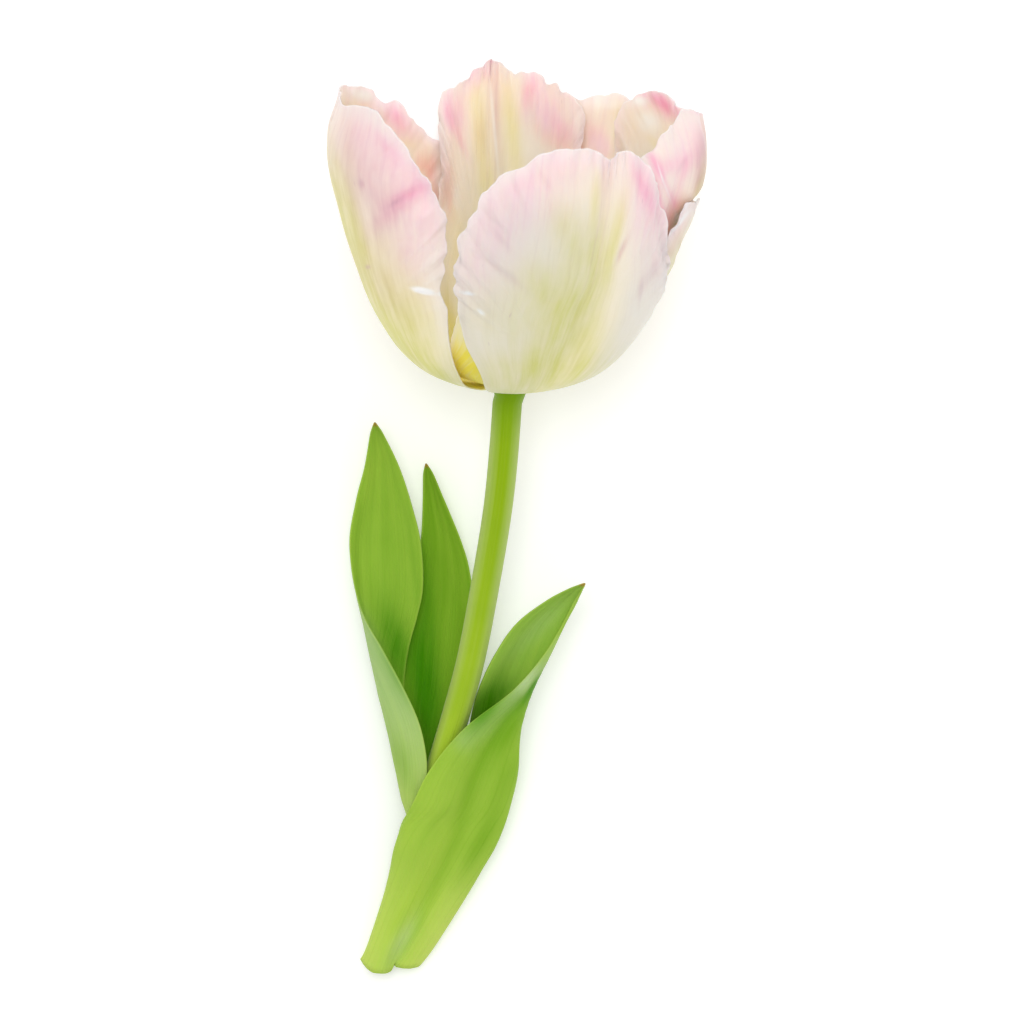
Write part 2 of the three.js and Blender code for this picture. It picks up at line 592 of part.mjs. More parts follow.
const flower = new THREE.Group();
flower.position.set(-BLOOM_BASE[0] - REST_SPOT[0], -BLOOM_BASE[1] - REST_SPOT[1], 0);

flower.add(stemMesh(stemGreen));
flower.add(leafMesh('leaf_left', leafGreen.clone(), LEAF_LEFT, 26, 10));
flower.add(leafMesh('leaf_middle', leafGreen.clone(), LEAF_MIDDLE, 22, 8));
flower.add(leafMesh('leaf_right', leafGreen.clone(), LEAF_RIGHT, 24, 18));
for (const petal of PETALS) {
  flower.add(petalMesh(petal, (petal.inner ? innerPink : outerPink).clone()));
}
flower.add(pistilMesh(pistilGreen));
const filamentLength = FILAMENT[FILAMENT.length - 1][0];
for (let i = 0; i < STAMENS; i += 1) {
  const azimuth = FIRST_STAMEN + (360 * i) / STAMENS;
  const number = i + 1;
  flower.add(stamenBar(`filament_${number}`, filamentCream.clone(), azimuth, 0, FILAMENT));
  const start = filamentLength + GAP;
  flower.add(stamenBar(`anther_${number}`, antherYellow.clone(), azimuth, start, ANTHER));
}

const part = new THREE.Group();
part.add(flower);

export default part;
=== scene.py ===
# The looks of a cut parrot tulip that lies on a surface: fine petals, leaves, stem, pistil
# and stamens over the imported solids, their materials, a pale floor, soft light, a camera.

import math

import bpy
import numpy as np
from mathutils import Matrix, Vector


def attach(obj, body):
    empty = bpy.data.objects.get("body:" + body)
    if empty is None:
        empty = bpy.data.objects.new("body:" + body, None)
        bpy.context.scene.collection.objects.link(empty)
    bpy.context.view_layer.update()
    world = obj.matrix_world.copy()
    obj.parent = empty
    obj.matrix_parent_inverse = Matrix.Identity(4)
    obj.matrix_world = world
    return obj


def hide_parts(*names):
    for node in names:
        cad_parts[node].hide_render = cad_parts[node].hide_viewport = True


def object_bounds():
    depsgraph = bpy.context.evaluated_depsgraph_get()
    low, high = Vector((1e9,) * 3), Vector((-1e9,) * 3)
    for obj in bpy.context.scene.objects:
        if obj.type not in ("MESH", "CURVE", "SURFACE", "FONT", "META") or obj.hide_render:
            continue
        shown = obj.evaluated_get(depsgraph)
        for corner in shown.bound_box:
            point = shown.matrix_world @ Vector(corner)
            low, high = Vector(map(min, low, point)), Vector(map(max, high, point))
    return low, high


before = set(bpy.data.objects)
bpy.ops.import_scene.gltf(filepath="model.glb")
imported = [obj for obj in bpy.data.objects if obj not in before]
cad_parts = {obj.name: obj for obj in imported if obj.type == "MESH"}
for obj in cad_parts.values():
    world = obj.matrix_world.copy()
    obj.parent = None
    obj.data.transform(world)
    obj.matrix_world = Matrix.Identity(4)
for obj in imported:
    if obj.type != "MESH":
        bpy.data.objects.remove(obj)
cad_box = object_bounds()

MM = 0.001

# ---- the sizes of the solids, in millimetres ----

BLOOM_BASE = np.array([0.8, 0, 30.3])
BLOOM_TILT = 16
BLOOM_LEAN = 1.4
REST_SPOT = (1.5, 62)
SHIFT = np.array([-BLOOM_BASE[0] - REST_SPOT[0], -REST_SPOT[1], 0])
PETAL_THICKNESS = 0.7
LEAF_THICKNESS = 0.8
GAP = 0.3

# Length along a petal, radius and height of the cup that the petals lie in.
CUP = [
    [0, 3.4, -0.1], [5.6, 9, 0.3], [11.7, 15, 1.8], [21.2, 23.3, 5.2], [29.3, 29.4, 10.4],
    [35.8, 33.2, 15.6], [45, 37.6, 23.4], [55, 41.2, 32.6], [63.8, 44.1, 41], [72.1, 46.3, 49],
    [79.4, 48.2, 56], [86.6, 49.5, 63], [93.6, 50, 70], [106, 49.4, 82],
]
INNER_DEPTH_AT_BASE = 1.3
INNER_DEPTH = 2.8
INNER_DEPTH_REACHED = 25

# What each petal's fields say. Lengths run along the petal, shares over its half width.
# fine: columns and rows of its grid. frill: width and depth of the small lobes of its
# margin. flame: how strong the yellow-green flame along its midrib is outside and inside,
# its half width at the top and at the foot, and between which lengths it fades out.
# reach: how much further the fine rim reaches than the solid's, by share.
# The rest are the solid's. curl: of its low and its high side, and over which lengths it
# sets in. turn_in: how far the rim turns in. wave_out: how far the waves stand out on each
# side. waves, phase: how many there are, and where they start. midrib: azimuth by length.
# low, high: the angles from there to its sides, by length. rim: its length, by share.
# flare: how far it bulges, by length. Only here, a hidden side of the left and of the inner
# back petal is a few degrees wider, and a side of the front petal curls 0.7 mm less.
PETALS = [
    dict(
        name="petal_outer_front", inner=False, seed=3, fine=(200, 180), frill=(4.2, 0.5),
        flame=(0.3, 0.35, 4, 17, 60, 95), curl=(0.2, -0.9, 40, 62), turn_in=1.2, wave_out=(1, 1),
        waves=(4.5, 3), phase=0.4,
        midrib=[(0, 24), (25, 21), (49, 24), (63, 28), (98, 29)],
        low=[(0, 50), (27, 36), (44, 43), (58, 46), (66, 48), (74, 47), (100, 45)],
        high=[(0, 48), (20, 56), (32, 60), (45, 58), (55, 47), (63, 35.5), (71, 30), (100, 28)],
        rim=[
            (-1, 67), (-0.92, 78.5), (-0.82, 86.5), (-0.72, 90.5), (-0.6, 94), (-0.44, 98.6),
            (-0.3, 99.4), (-0.1, 98.2), (0, 94.6), (0.13, 97), (0.25, 97.2), (0.45, 93.5), (0.62, 88),
            (0.8, 80), (0.92, 74), (1, 66),
        ],
    ),
    dict(
        name="petal_outer_left", inner=False, seed=11, fine=(200, 180), frill=(3.2, 0.6),
        flame=(1.2, 0.4, 13, 24, 62, 104), curl=(0.8, 4.4, 30, 60), turn_in=3.4, wave_out=(1, 1),
        waves=(5, 3), phase=0.1,
        midrib=[(0, -96), (30, -90), (60, -88), (100, -88)],
        low=[(0, 50), (29, 58), (52, 63.5), (62, 68), (77, 69), (100, 66)],
        high=[(0, 50), (29, 62), (45, 61), (57, 58.5), (69, 63), (77, 64), (100, 63.5)],
        rim=[
            (-1, 78), (-0.92, 82.5), (-0.85, 86), (-0.7, 90.5), (-0.6, 94.5), (-0.45, 98), (-0.31, 100),
            (0, 101.5), (0.24, 101), (0.42, 101), (0.57, 99), (0.68, 95.8), (0.83, 89.5), (0.9, 85.5),
            (0.96, 81.5), (1, 76),
        ],
    ),
    dict(
        name="petal_outer_back", inner=False, seed=23, fine=(160, 150), frill=(3.2, 0.9),
        flame=(0.5, 0.4, 8, 20, 60, 95), curl=(0.6, 0.2, 30, 50), turn_in=-0.8, wave_out=(0, 0.6),
        waves=(4.5, 2), phase=0.7,
        midrib=[(0, 144), (30, 142), (100, 140)],
        low=[(0, 50), (29, 50), (46, 54), (55, 70), (63, 79), (72, 78), (100, 77)],
        high=[(0, 50), (29, 52), (45, 60), (75, 62), (100, 60)],
        rim=[
            (-1, 69), (-0.94, 72), (-0.8, 73), (-0.6, 73.6), (-0.42, 79), (-0.2, 86), (0, 90),
            (0.16, 92), (0.28, 90.5), (0.45, 90), (0.65, 88), (0.82, 83), (1, 70),
        ],
        reach=[
            (-1.1, 1.5), (-1, 2.2), (-0.92, 3.2), (-0.8, 2.9), (-0.62, 1.6), (-0.45, 0.4), (-0.3, 0),
            (1, 0),
        ],
    ),
    dict(
        name="petal_inner_right", inner=True, seed=37, fine=(160, 150), frill=(3.2, 0.9),
        flame=(1.2, 0.35, 9, 18, 70, 112), curl=(0.6, 0.4, 40, 66), turn_in=2.4, wave_out=(-1, -1),
        waves=(4, 2), phase=0.25,
        midrib=[(0, 84), (30, 88), (60, 91), (100, 92)],
        low=[(0, 50), (30, 46), (60, 46), (100, 47)],
        high=[(0, 50), (30, 50), (60, 52), (100, 52)],
        rim=[
            (-1, 87), (-0.95, 95), (-0.88, 99.5), (-0.7, 102), (-0.5, 103), (-0.3, 101), (0, 99),
            (0.15, 97.4), (0.3, 96.4), (0.38, 98), (0.5, 99.4), (0.63, 99.2), (0.75, 97.6), (0.86, 95),
            (0.94, 92), (1, 86),
        ],
        flare=[(0, 0), (71, 0), (80, 3.4), (90, 3.6), (100, 3.4)],
    ),
    dict(
        name="petal_inner_back", inner=True, seed=41, fine=(150, 150), frill=(3.6, 0.9),
        flame=(0.5, 0.3, 5, 17, 60, 95), curl=(0.4, -0.3, 40, 66), turn_in=-0.6, wave_out=(-1, -1),
        waves=(3, 2), phase=0.6,
        midrib=[(0, 204), (30, 198), (63, 189), (98, 188)],
        low=[(0, 50), (30, 46), (47, 38), (64, 32.5), (82, 31.5), (100, 28)],
        high=[(0, 50), (30, 44), (47, 34), (64, 20), (72, 18.5), (85, 17.5), (100, 17)],
        rim=[
            (-1, 86), (-0.9, 90.5), (-0.78, 93), (-0.64, 95.4), (-0.46, 98), (-0.25, 97.4),
            (-0.1, 99.4), (0, 101.3), (0.12, 100.6), (0.35, 98.6), (0.6, 95.4), (0.9, 91), (1, 86),
        ],
    ),
    dict(
        name="petal_inner_front", inner=True, seed=53, fine=(100, 100), frill=(3.6, 0.8),
        flame=(0.4, 0.4, 6, 16, 60, 95), curl=(0.4, 0.4, 40, 66), turn_in=1.5, wave_out=(-1, -1),
        waves=(3, 2), phase=0.9,
        midrib=[(0, -36), (20, -20), (38, 2), (60, 8), (90, 8)],
        low=[(0, 50), (20, 37), (38, 31), (60, 27), (90, 25)],
        high=[(0, 50), (20, 38), (38, 26), (60, 27), (90, 25)],
        rim=[
            (-1, 66), (-0.8, 80), (-0.5, 87), (-0.12, 90), (0, 88.5), (0.12, 90), (0.5, 87), (0.8, 80),
            (1, 66),
        ],
    ),
]
FLAT = [(0, 0), (100, 0)]
CURL_POWER = 2.5
WAVE_HEIGHT = 1.5
WAVE_REACH = 11
WAVE_LENGTHS = (45, 70)
TURN_REACH = 16
FLARE_MIDDLE = -0.15
FLARE_FULL = 0.15
FLARE_ENDS = 0.45
RIM_LOBES = 10
LOBE_UNEVEN = 0.01
NOTCH_DEPTH = 1.3
MIDRIB_GROOVE = 0.6
MIDRIB_GROOVE_WIDTH = 4
GROOVE_LENGTHS = (15, 40)
CROWDING = 0.45

# The stem's centre line and radius: x, y, z, radius.
STEM = [
    [-35.2, -153.8, 3.9, 2.4], [-28.4, -134.7, 6.6, 2.7], [-23, -118.3, 9.5, 2.95],
    [-17.8, -100.6, 12.6, 3.5], [-13, -84.8, 15.4, 3.65], [-9.5, -71.8, 17.8, 3.7],
    [-5.9, -53.3, 21, 3.75], [-2.1, -29.9, 24.7, 3.8], [-0.8, -16.9, 26.8, 3.85],
    [0.1, -4.5, 29.1, 3.85],
]
RECEPTACLE = [[-2.6, 4], [-1.3, 4.5], [-0.45, 4.3], [-0.42, 3.05], [2.1, 2.9]]
SHEATH_SLANT = 1.07
FIRST_LAYER = GAP + LEAF_THICKNESS / 2
NEXT_LAYER = LEAF_THICKNESS + GAP

# ---- small mathematics ----


def smooth(x, low, high):
    """A soft step from 0 at low to 1 at high."""
    t = np.clip((np.asarray(x, float) - low) / (high - low), 0, 1)
    return t * t * (3 - 2 * t)


def bell(x):
    """1 at 0, and falls off softly on both sides."""
    return np.exp(-(x ** 2))


def unit(vectors):
    return vectors / np.maximum(np.linalg.norm(vectors, axis=-1, keepdims=True), 1e-9)


def averaged(values, reach):
    """Each value of a row, averaged with those up to reach steps beside it."""
    count = 2 * reach + 1
    return np.convolve(np.pad(values, reach, "edge"), np.ones(count) / count, "valid")


def curve_through(points, column=1):
    """A smooth curve through points with no bump of its own, as the solids have it."""
    xs = np.array([p[0] for p in points], float)
    ys = np.array([p[column] for p in points], float)
    secants = np.diff(ys) / np.diff(xs)
    slopes = np.zeros(len(xs))
    slopes[0], slopes[-1] = secants[0], secants[-1]
    product = secants[:-1] * secants[1:]
    total = np.where(product > 0, secants[:-1] + secants[1:], 1)
    slopes[1:-1] = np.where(product > 0, 2 * product / total, 0)

    def at(x):
        x = np.asarray(x, float)
        i = np.clip(np.searchsorted(xs, x, side="left") - 1, 0, len(xs) - 2)
        span = xs[i + 1] - xs[i]
        t = np.clip((x - xs[i]) / span, 0, 1)
        rest = 1 - t
        return (
            (1 + 2 * t) * rest * rest * ys[i] + t * rest * rest * span * slopes[i]
            + t * t * (3 - 2 * t) * ys[i + 1] - t * t * rest * span * slopes[i + 1]
        )

    return at


def catmull_rom(points, t):
    """Points at t (0 to 1) of a centripetal Catmull-Rom curve. points: (n, ..., 3)."""
    n = len(points)
    ends = [2 * points[0] - points[1], 2 * points[-1] - points[-2]]
    padded = np.concatenate([ends[:1], points, ends[1:]])
    place = (n - 1) * np.asarray(t, float)
    i = np.minimum(place.astype(int), n - 2)
    w = (place - i).reshape((-1,) + (1,) * (points.ndim - 1))
    x0, x1, x2, x3 = (padded[i + k] for k in range(4))

    def step(a, b, instead=1.0):
        far = (((a - b) ** 2).sum(-1, keepdims=True)) ** 0.25
        return np.where(far < 1e-4, instead, far)

    d1 = step(x1, x2)
    d0, d2 = step(x0, x1, d1), step(x2, x3, d1)
    t1 = ((x1 - x0) / d0 - (x2 - x0) / (d0 + d1) + (x2 - x1) / d1) * d1
    t2 = ((x2 - x1) / d1 - (x3 - x1) / (d1 + d2) + (x3 - x2) / d2) * d1
    return (
        x1 + t1 * w + (-3 * x1 + 3 * x2 - 2 * t1 - t2) * w * w
        + (2 * x1 - 2 * x2 + t1 + t2) * w * w * w
    )


def chance(k, seed):
    """A number from 0 to 1 for each whole number k, the same each run."""
    return np.modf(np.abs(np.sin(np.asarray(k, float) * 12.9898 + seed * 78.233)) * 43758.5)[0]


def wobble(x, seed):
    """A smooth random wave of x, from about -1 to 1, with features about 1 long."""
    total = 0
    for k, (rate, size) in enumerate(((0.61, 0.5), (1.0, 0.35), (1.73, 0.25), (2.9, 0.15))):
        total = total + size * np.sin(2 * math.pi * (rate * x + chance(k, seed)))
    return total


def lobes(x, width, seed):
    """How deep the sharp cuts between rounded lobes of uneven width go, side by side along
    x: from 0 at a crown to 1 at most."""
    place = x / width + 0.2 * wobble(x / width / 3, seed)
    k = np.floor(place)
    sharp = 1.6 + 2.4 * chance(k, seed + 5)
    depth = 0.25 + 0.75 * chance(np.floor(place + 0.5), seed + 3)
    return depth * np.abs(2 * (place - k) - 1) ** sharp


# ---- the bloom's frame ----

tilt, lean = math.radians(BLOOM_TILT), math.radians(BLOOM_LEAN)
bloom_axis = np.array([
    math.sin(lean) * math.cos(tilt), math.cos(lean) * math.cos(tilt), math.sin(tilt),
])
bloom_up = np.array([0, 0, 1]) - bloom_axis * bloom_axis[2]
bloom_up /= np.linalg.norm(bloom_up)
bloom_side = np.cross(bloom_axis, bloom_up)
cup_radius, cup_height = curve_through(CUP, 1), curve_through(CUP, 2)


def in_bloom(azimuth, radius, height):
    """A point by its azimuth from the top, its distance from the axis and its height."""
    angle = np.radians(azimuth)
    return (
        BLOOM_BASE + bloom_axis * np.asarray(height)[..., None]
        + bloom_up * np.asarray(radius * np.cos(angle))[..., None]
        + bloom_side * np.asarray(radius * np.sin(angle))[..., None]
    )


# ---- meshes ----

BOX_BAND = 1.3
BOX_OVER = 0.8
FROM_RIM = 3
CALMING_ROUNDS = 3


def normals_of(grid):
    return unit(np.cross(np.gradient(grid, axis=1), np.gradient(grid, axis=0)))


def calm_normals(grid):
    """Normals of a grid, taken from a little inside its rim and evened out."""
    normal = normals_of(grid)
    for side in (normal, normal.transpose(1, 0, 2)):
        side[:FROM_RIM], side[-FROM_RIM:] = side[FROM_RIM], side[-FROM_RIM - 1]
    for _ in range(CALMING_ROUNDS):
        wide = np.pad(normal, ((1, 1), (1, 1), (0, 0)), "edge")
        normal = 2 * normal + wide[:-2, 1:-1] + wide[2:, 1:-1] + wide[1:-1, :-2] + wide[1:-1, 2:]
        normal = unit(normal)
    return normal


def keep_inside(points):
    """Draws in what stands out of the box of the solids, with the last 1.3 mm before it."""
    low, high = np.array(cad_box[0]), np.array(cad_box[1])
    for limit, sign, axes in ((high, 1, (0, 1, 2)), (low, -1, (0, 1))):
        for axis in axes:
            room = sign * (limit[axis] / MM - points[:, axis])
            t = np.clip((room + BOX_OVER) / (BOX_BAND + BOX_OVER), 0, 1)
            room_left = BOX_BAND * t ** ((BOX_BAND + BOX_OVER) / BOX_BAND)
            drawn = limit[axis] / MM - sign * room_left
            points[:, axis] = np.where(room < BOX_BAND, drawn, points[:, axis])
    return points


def add_object(name, data):
    made = bpy.data.objects.new(name, data)
    bpy.context.scene.collection.objects.link(made)
    return made


def make_piece(name, points, faces, attributes):
    mesh = bpy.data.meshes.new(name)
    mesh.from_pydata((keep_inside(points + SHIFT) * MM).tolist(), [], faces)
    mesh.update()
    mesh.shade_smooth()
    for key, values in attributes.items():
        layer = mesh.attributes.new(key, "FLOAT", "POINT")
        layer.data.foreach_set("value", np.ascontiguousarray(values, dtype=np.float32))
    return add_object(name, mesh)


def finish_piece(piece, material, slot, *nodes):
    piece.data.materials.append(material)
    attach(piece, "root")
    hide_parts(*nodes)


def blade(name, back, front, attributes, marks):
    """A thin closed blade between two like grids, with one value for both sides at each
    point of the grid in attributes, and one for each side in marks."""
    size = back[..., 0].size
    index = np.arange(size).reshape(back.shape[:2])
    a, b, c, d = index[:-1, :-1], index[:-1, 1:], index[1:, 1:], index[1:, :-1]
    outer = np.stack([a, b, c, d], -1).reshape(-1, 4)
    inner = np.stack([a, d, c, b], -1).reshape(-1, 4) + size
    ring = np.concatenate([index[0, :-1], index[:-1, -1], index[-1, :0:-1], index[:0:-1, 0]])
    after = np.roll(ring, -1)
    wall = np.stack([after, ring, ring + size, after + size], -1)
    faces = np.concatenate([outer, inner, wall]).tolist()
    points = np.concatenate([back.reshape(-1, 3), front.reshape(-1, 3)])
    doubled = {k: np.tile(v.ravel(), 2) for k, v in attributes.items()}
    doubled["inside"] = np.repeat([0.0, 1.0], size)
    return make_piece(name, points, faces, {**doubled, **marks})


def tube(name, rings, attributes):
    """A closed solid through rings (n, sides, 3) that run clockwise seen from the last."""
    index = np.arange(rings[..., 0].size).reshape(rings.shape[:2])
    nxt = np.roll(index, -1, 1)
    walls = np.stack([index[:-1], index[1:], nxt[1:], nxt[:-1]], -1).reshape(-1, 4).tolist()
    ends = [index[0].tolist(), index[-1][::-1].tolist()]
    flat = {k: v.ravel() for k, v in attributes.items()}
    return make_piece(name, rings.reshape(-1, 3), walls + ends, flat)


# ---- marks laid out in plan ----

# The view from above: mm in a step, its middle in steps and in mm, how high it is seen
# from, and the height at which a step is as long as that.
PLAN_STEP = 0.26
PLAN_CENTRE = 512
PLAN_MIDDLE = (1.3, -33.0)
PLAN_HEIGHT = 2530
PLAN_SCALE_AT = 30
FACES = {"out": [0], "in": [1], "": [0, 1]}
EASED_FROM = 0.6


def plan(points):
    """Where points lie in the view from above, in steps of 0.26 mm, x right and y down."""
    closer = (PLAN_HEIGHT - PLAN_SCALE_AT) / (PLAN_HEIGHT - points[..., 2])
    x = PLAN_CENTRE + (points[..., 0] - PLAN_MIDDLE[0]) * closer / PLAN_STEP
    y = PLAN_CENTRE - (points[..., 1] - PLAN_MIDDLE[1]) * closer / PLAN_STEP
    return x, y


def spot(place, x, y, half_length, half_width, angle):
    """A soft oval mark at x, y in plan; its long axis falls to the right by angle."""
    turn = math.radians(angle)
    dx, dy = place[0] - x, place[1] - y
    along = (dx * math.cos(turn) + dy * math.sin(turn)) / half_length
    across = (dy * math.cos(turn) - dx * math.sin(turn)) / half_width
    return np.exp(-(along ** 2) - across ** 2)


def laid(marks, place, layers):
    """The strength of each layer of marks at each point, outside and inside."""
    fields = {layer: np.zeros((2, *place[0].shape)) for layer in layers}
    for key, spots in marks.items():
        layer, _, side = key.partition("_")
        for *oval, strength in spots:
            fields[layer][FACES[side]] += strength * spot(place, *oval)
    return fields


def eased(fields):
    """Strengths above 0.6 drawn together, so that a mark has no flat middle. Each layer's
    are one row, first those outside."""
    rows = {}
    for layer, field in fields.items():
        over = np.maximum(field - EASED_FROM, 0)
        over = EASED_FROM * (1 - np.exp(-over / EASED_FROM))
        rows[layer] = (np.minimum(field, EASED_FROM) + over).ravel()
    return rows


def off_line(place, line):
    """The distance in plan to a line through points, and which share of it is nearest."""
    px, py = place
    best = np.full(np.shape(px), 1e9)
    share = np.zeros(np.shape(px))
    count = len(line) - 1
    for i in range(count):
        (x0, y0), (x1, y1) = line[i], line[i + 1]
        size = (x1 - x0) ** 2 + (y1 - y0) ** 2
        t = np.clip(((px - x0) * (x1 - x0) + (py - y0) * (y1 - y0)) / size, 0, 1)
        far = np.hypot(px - x0 - t * (x1 - x0), py - y0 - t * (y1 - y0))
        nearer = far < best
        best = np.where(nearer, far, best)
        share = np.where(nearer, (i + t) / count, share)
    return best, share


# ---- petals ----

ROW_CROWDING = 0.45
FINE_NOTCH = 0.6
EDGE_THICKNESS = 0.28
EDGE_REACH = 5
CUT_REACH = 6
STEEPEST = 0.95
LEAST_SEEN = 0.3
CREST_CALM = 0.45
FOOT_SHARE = 12
HUB = 35
SQUEEZED = 0.004
TURNED = 0.0005
UNTANGLING_ROUNDS = 40
HALVES = (slice(None, -1), slice(1, None))

# Where the lobed margins run in plan, as far as they are in sight: the share of the half
# width from and to which a line holds, how far it may shift the margin, and its points.
OUTLINES = dict(
    petal_outer_front=[
        (-2, 2, 2.6, [
            (483, 384), (477, 372), (468, 353), (462, 330), (457.5, 311), (457.5, 300), (455, 293),
            (453.5, 287), (457.5, 283), (453, 274), (454, 265), (462, 258), (461, 251), (457, 243),
            (460, 234), (468, 227), (467, 221), (473, 214.5), (481, 208), (479, 199), (482, 193),
            (490, 188), (497, 183), (498, 178), (505, 173), (512, 170), (524, 167), (532, 160),
            (540, 154), (548.5, 153), (557, 149.5), (567, 148.5), (574, 150.5), (580, 149),
            (589, 148.5), (599, 152), (607, 158), (611, 163), (614, 157), (620, 152), (629, 150.5),
            (636, 155), (643, 160), (645, 165), (650, 167),
        ]),
    ],
    petal_outer_left=[
        (0.25, 2, 5, [
            (341, 106), (355, 105), (367, 107), (376, 112), (382, 118), (383, 122), (390, 127),
            (395, 133), (396, 137), (402, 142), (408, 149), (410, 156), (415, 163), (423, 175),
            (428, 180), (426, 187.5), (433, 194), (440, 202), (438, 206), (445, 212), (447.5, 220),
            (444.5, 225), (446, 231), (445, 237), (447, 243), (447.5, 253), (443, 262), (446, 269),
            (443, 278), (438, 288), (431, 294), (440.5, 294), (443, 300), (447, 309), (448, 325),
            (449, 344), (452, 358), (457.5, 372), (469, 383),
        ]),
        (-2, -0.3, 4.5, [
            (341, 88), (350, 86), (362, 86), (373, 90), (376, 100), (382, 103), (387, 104), (397, 99),
            (404, 106), (408, 117), (412, 118), (416, 124), (421, 134), (429, 139), (437, 145),
        ]),
    ],
    petal_outer_back=[
        (-2, -0.55, 6, [
            (663, 293), (664, 279), (664, 260), (665, 244), (667, 236), (672, 234), (676, 226),
            (681, 222), (682, 217), (688, 213), (685, 208), (683, 203.5), (690, 201.5), (697, 202),
        ]),
        (0, 2, 3, [
            (581, 106), (588, 97), (598, 94), (606, 96), (614, 92), (624, 95), (632, 101),
        ]),
    ],
    petal_inner_right=[
        (-2, -0.45, 8, [
            (638, 162), (646.5, 153), (651, 150), (656, 148), (662, 144.5), (658.5, 139), (661, 135),
            (667.5, 130.5), (671, 125), (676, 124.5), (681, 121), (685, 119.5), (691, 116), (697, 117),
        ]),
        (-0.45, 2, 2, [
            (630, 103), (634, 99), (638, 94), (645, 92.5), (652, 90), (662, 92), (668, 94), (673, 98),
            (677, 106), (681, 108), (685, 109.5), (692, 109), (699, 113), (704, 114), (709, 120),
            (712, 130),
        ]),
    ],
    petal_inner_back=[
        (-2, 2, 2.6, [
            (437, 188), (443, 172), (440, 154), (445, 140), (437, 130), (440, 118), (438, 105),
            (442, 92), (449, 88), (454, 88), (459, 82), (463, 81), (470, 75), (475, 74), (479, 67),
            (483, 66), (488, 59.5), (491.5, 57.5), (497, 61.5), (502, 62), (507, 69), (511, 70.5),
            (515, 75), (521, 71), (528, 73), (534, 71), (543, 75.5), (546, 81), (550, 86), (550, 95),
            (557, 93), (566, 92), (574, 96), (577, 101), (583, 107),
        ]),
    ],
)

# Ridges (height over 0) and furrows of single folds: x and y in plan, half length, half
# width, angle, height in mm.
FOLDS = dict(
    petal_outer_front=[
        (486, 263, 30, 4.5, 30, -0.6), (497, 225, 26, 5, 48, -0.55), (466, 293, 9, 2.2, 10, 0.45),
        (480, 311, 6, 2.2, 38, 0.4), (482, 243, 20, 7, 38, 0.45), (622, 250, 13, 2.6, -68, -0.35),
        (650, 286, 15, 3.5, -70, -0.35), (537, 215, 26, 7, 62, 0.25), (641, 205, 22, 3, 78, -0.3),
        (474, 278, 20, 6, 25, 0.4), (515, 190, 20, 5, 55, -0.25), (654, 220, 24, 3, 82, 0.25),
    ],
    petal_outer_left=[
        (409, 194, 20, 3.5, -24, -0.5), (398, 172, 18, 5, -30, 0.35), (416, 218, 20, 6, -18, 0.4),
        (412, 238, 20, 4, -12, -0.3), (421, 290, 9, 2.4, 14, 0.5), (414, 262, 18, 6, -6, 0.25),
        (384, 150, 14, 4, -36, -0.3), (366, 165, 5, 30, -8, -0.25),
    ],
    petal_outer_back=[(684, 214, 20, 8, -52, 0.5)],
    petal_inner_right=[
        (668, 170, 20, 4, -52, 0.35), (655, 186, 22, 3, 78, -0.3), (684, 150, 16, 4, -45, -0.3),
        (672, 205, 20, 3, -74, -0.25),
    ],
    petal_inner_back=[
        (459, 135, 5, 22, -10, -0.4), (530, 110, 5, 26, -6, 0.35), (556, 130, 5, 18, 20, -0.4),
    ],
)


def off_crest(petal, a):
    """The left petal's waves and cuts fade at its crest, which is seen end on: 0 there."""
    return 1 - bell(a / CREST_CALM) if petal["name"] == "petal_outer_left" else 1.0


def petal_surface(petal):
    """Three functions of the share a of the half width and the length s: the half width in
    mm, the outer face at a depth under the cup, and the depth of the solid's form."""
    midrib, low, high = (curve_through(petal[key]) for key in ("midrib", "low", "high"))
    flare = curve_through(petal.get("flare", FLAT))

    def half_angle(a, s):
        return np.where(a < 0, low(s), high(s))

    def half_width(a, s):
        return np.radians(half_angle(a, s)) * cup_radius(s)

    def point(a, s, depth):
        rise = cup_height(s + 0.05) - cup_height(s - 0.05)
        slope = (cup_radius(s + 0.05) - cup_radius(s - 0.05)) / np.maximum(rise, 1e-3)
        norm = np.hypot(1, slope)
        angle = midrib(s) + a * half_angle(a, s)
        return in_bloom(
            angle, cup_radius(s) - depth / norm, cup_height(s) + depth * slope / norm)

    def form(a, s, along, near, to_rim):
        turns = petal["waves"][0] * a * 0.5 + petal["waves"][1] * along * np.tanh(4 * a)
        turns = turns + petal["phase"]
        out_low, out_high = petal["wave_out"]
        wave = WAVE_HEIGHT * (out_low + (out_high - out_low) * smooth(a, -0.5, 0.5))
        wave = wave * near * near * smooth(s, *WAVE_LENGTHS)
        wave = wave * (0.5 - 0.5 * np.cos(2 * math.pi * turns)) * off_crest(petal, a)
        curl_low, curl_high, *curl_lengths = petal["curl"]
        curl = np.where(a < 0, curl_low, curl_high) * np.abs(a) ** CURL_POWER
        curl = curl * smooth(s, *curl_lengths)
        groove = MIDRIB_GROOVE * bell(a * half_width(a, s) / MIDRIB_GROOVE_WIDTH)
        groove = groove * smooth(s, *GROOVE_LENGTHS)
        bulge = flare(s) * (1 - smooth(np.abs(a - FLARE_MIDDLE), FLARE_FULL, FLARE_ENDS))
        turn_in = petal["turn_in"] * smooth(1 - to_rim / TURN_REACH, 0, 1)
        if petal["name"] == "petal_outer_left":
            turn_in = turn_in * smooth(a, -1, -0.75)
        depth = curl + groove - wave - bulge + turn_in
        if petal["inner"]:
            deeper = (INNER_DEPTH - INNER_DEPTH_AT_BASE) * smooth(s, 0, INNER_DEPTH_REACHED)
            depth = depth + INNER_DEPTH_AT_BASE + deeper
        return depth

    return half_width, point, form


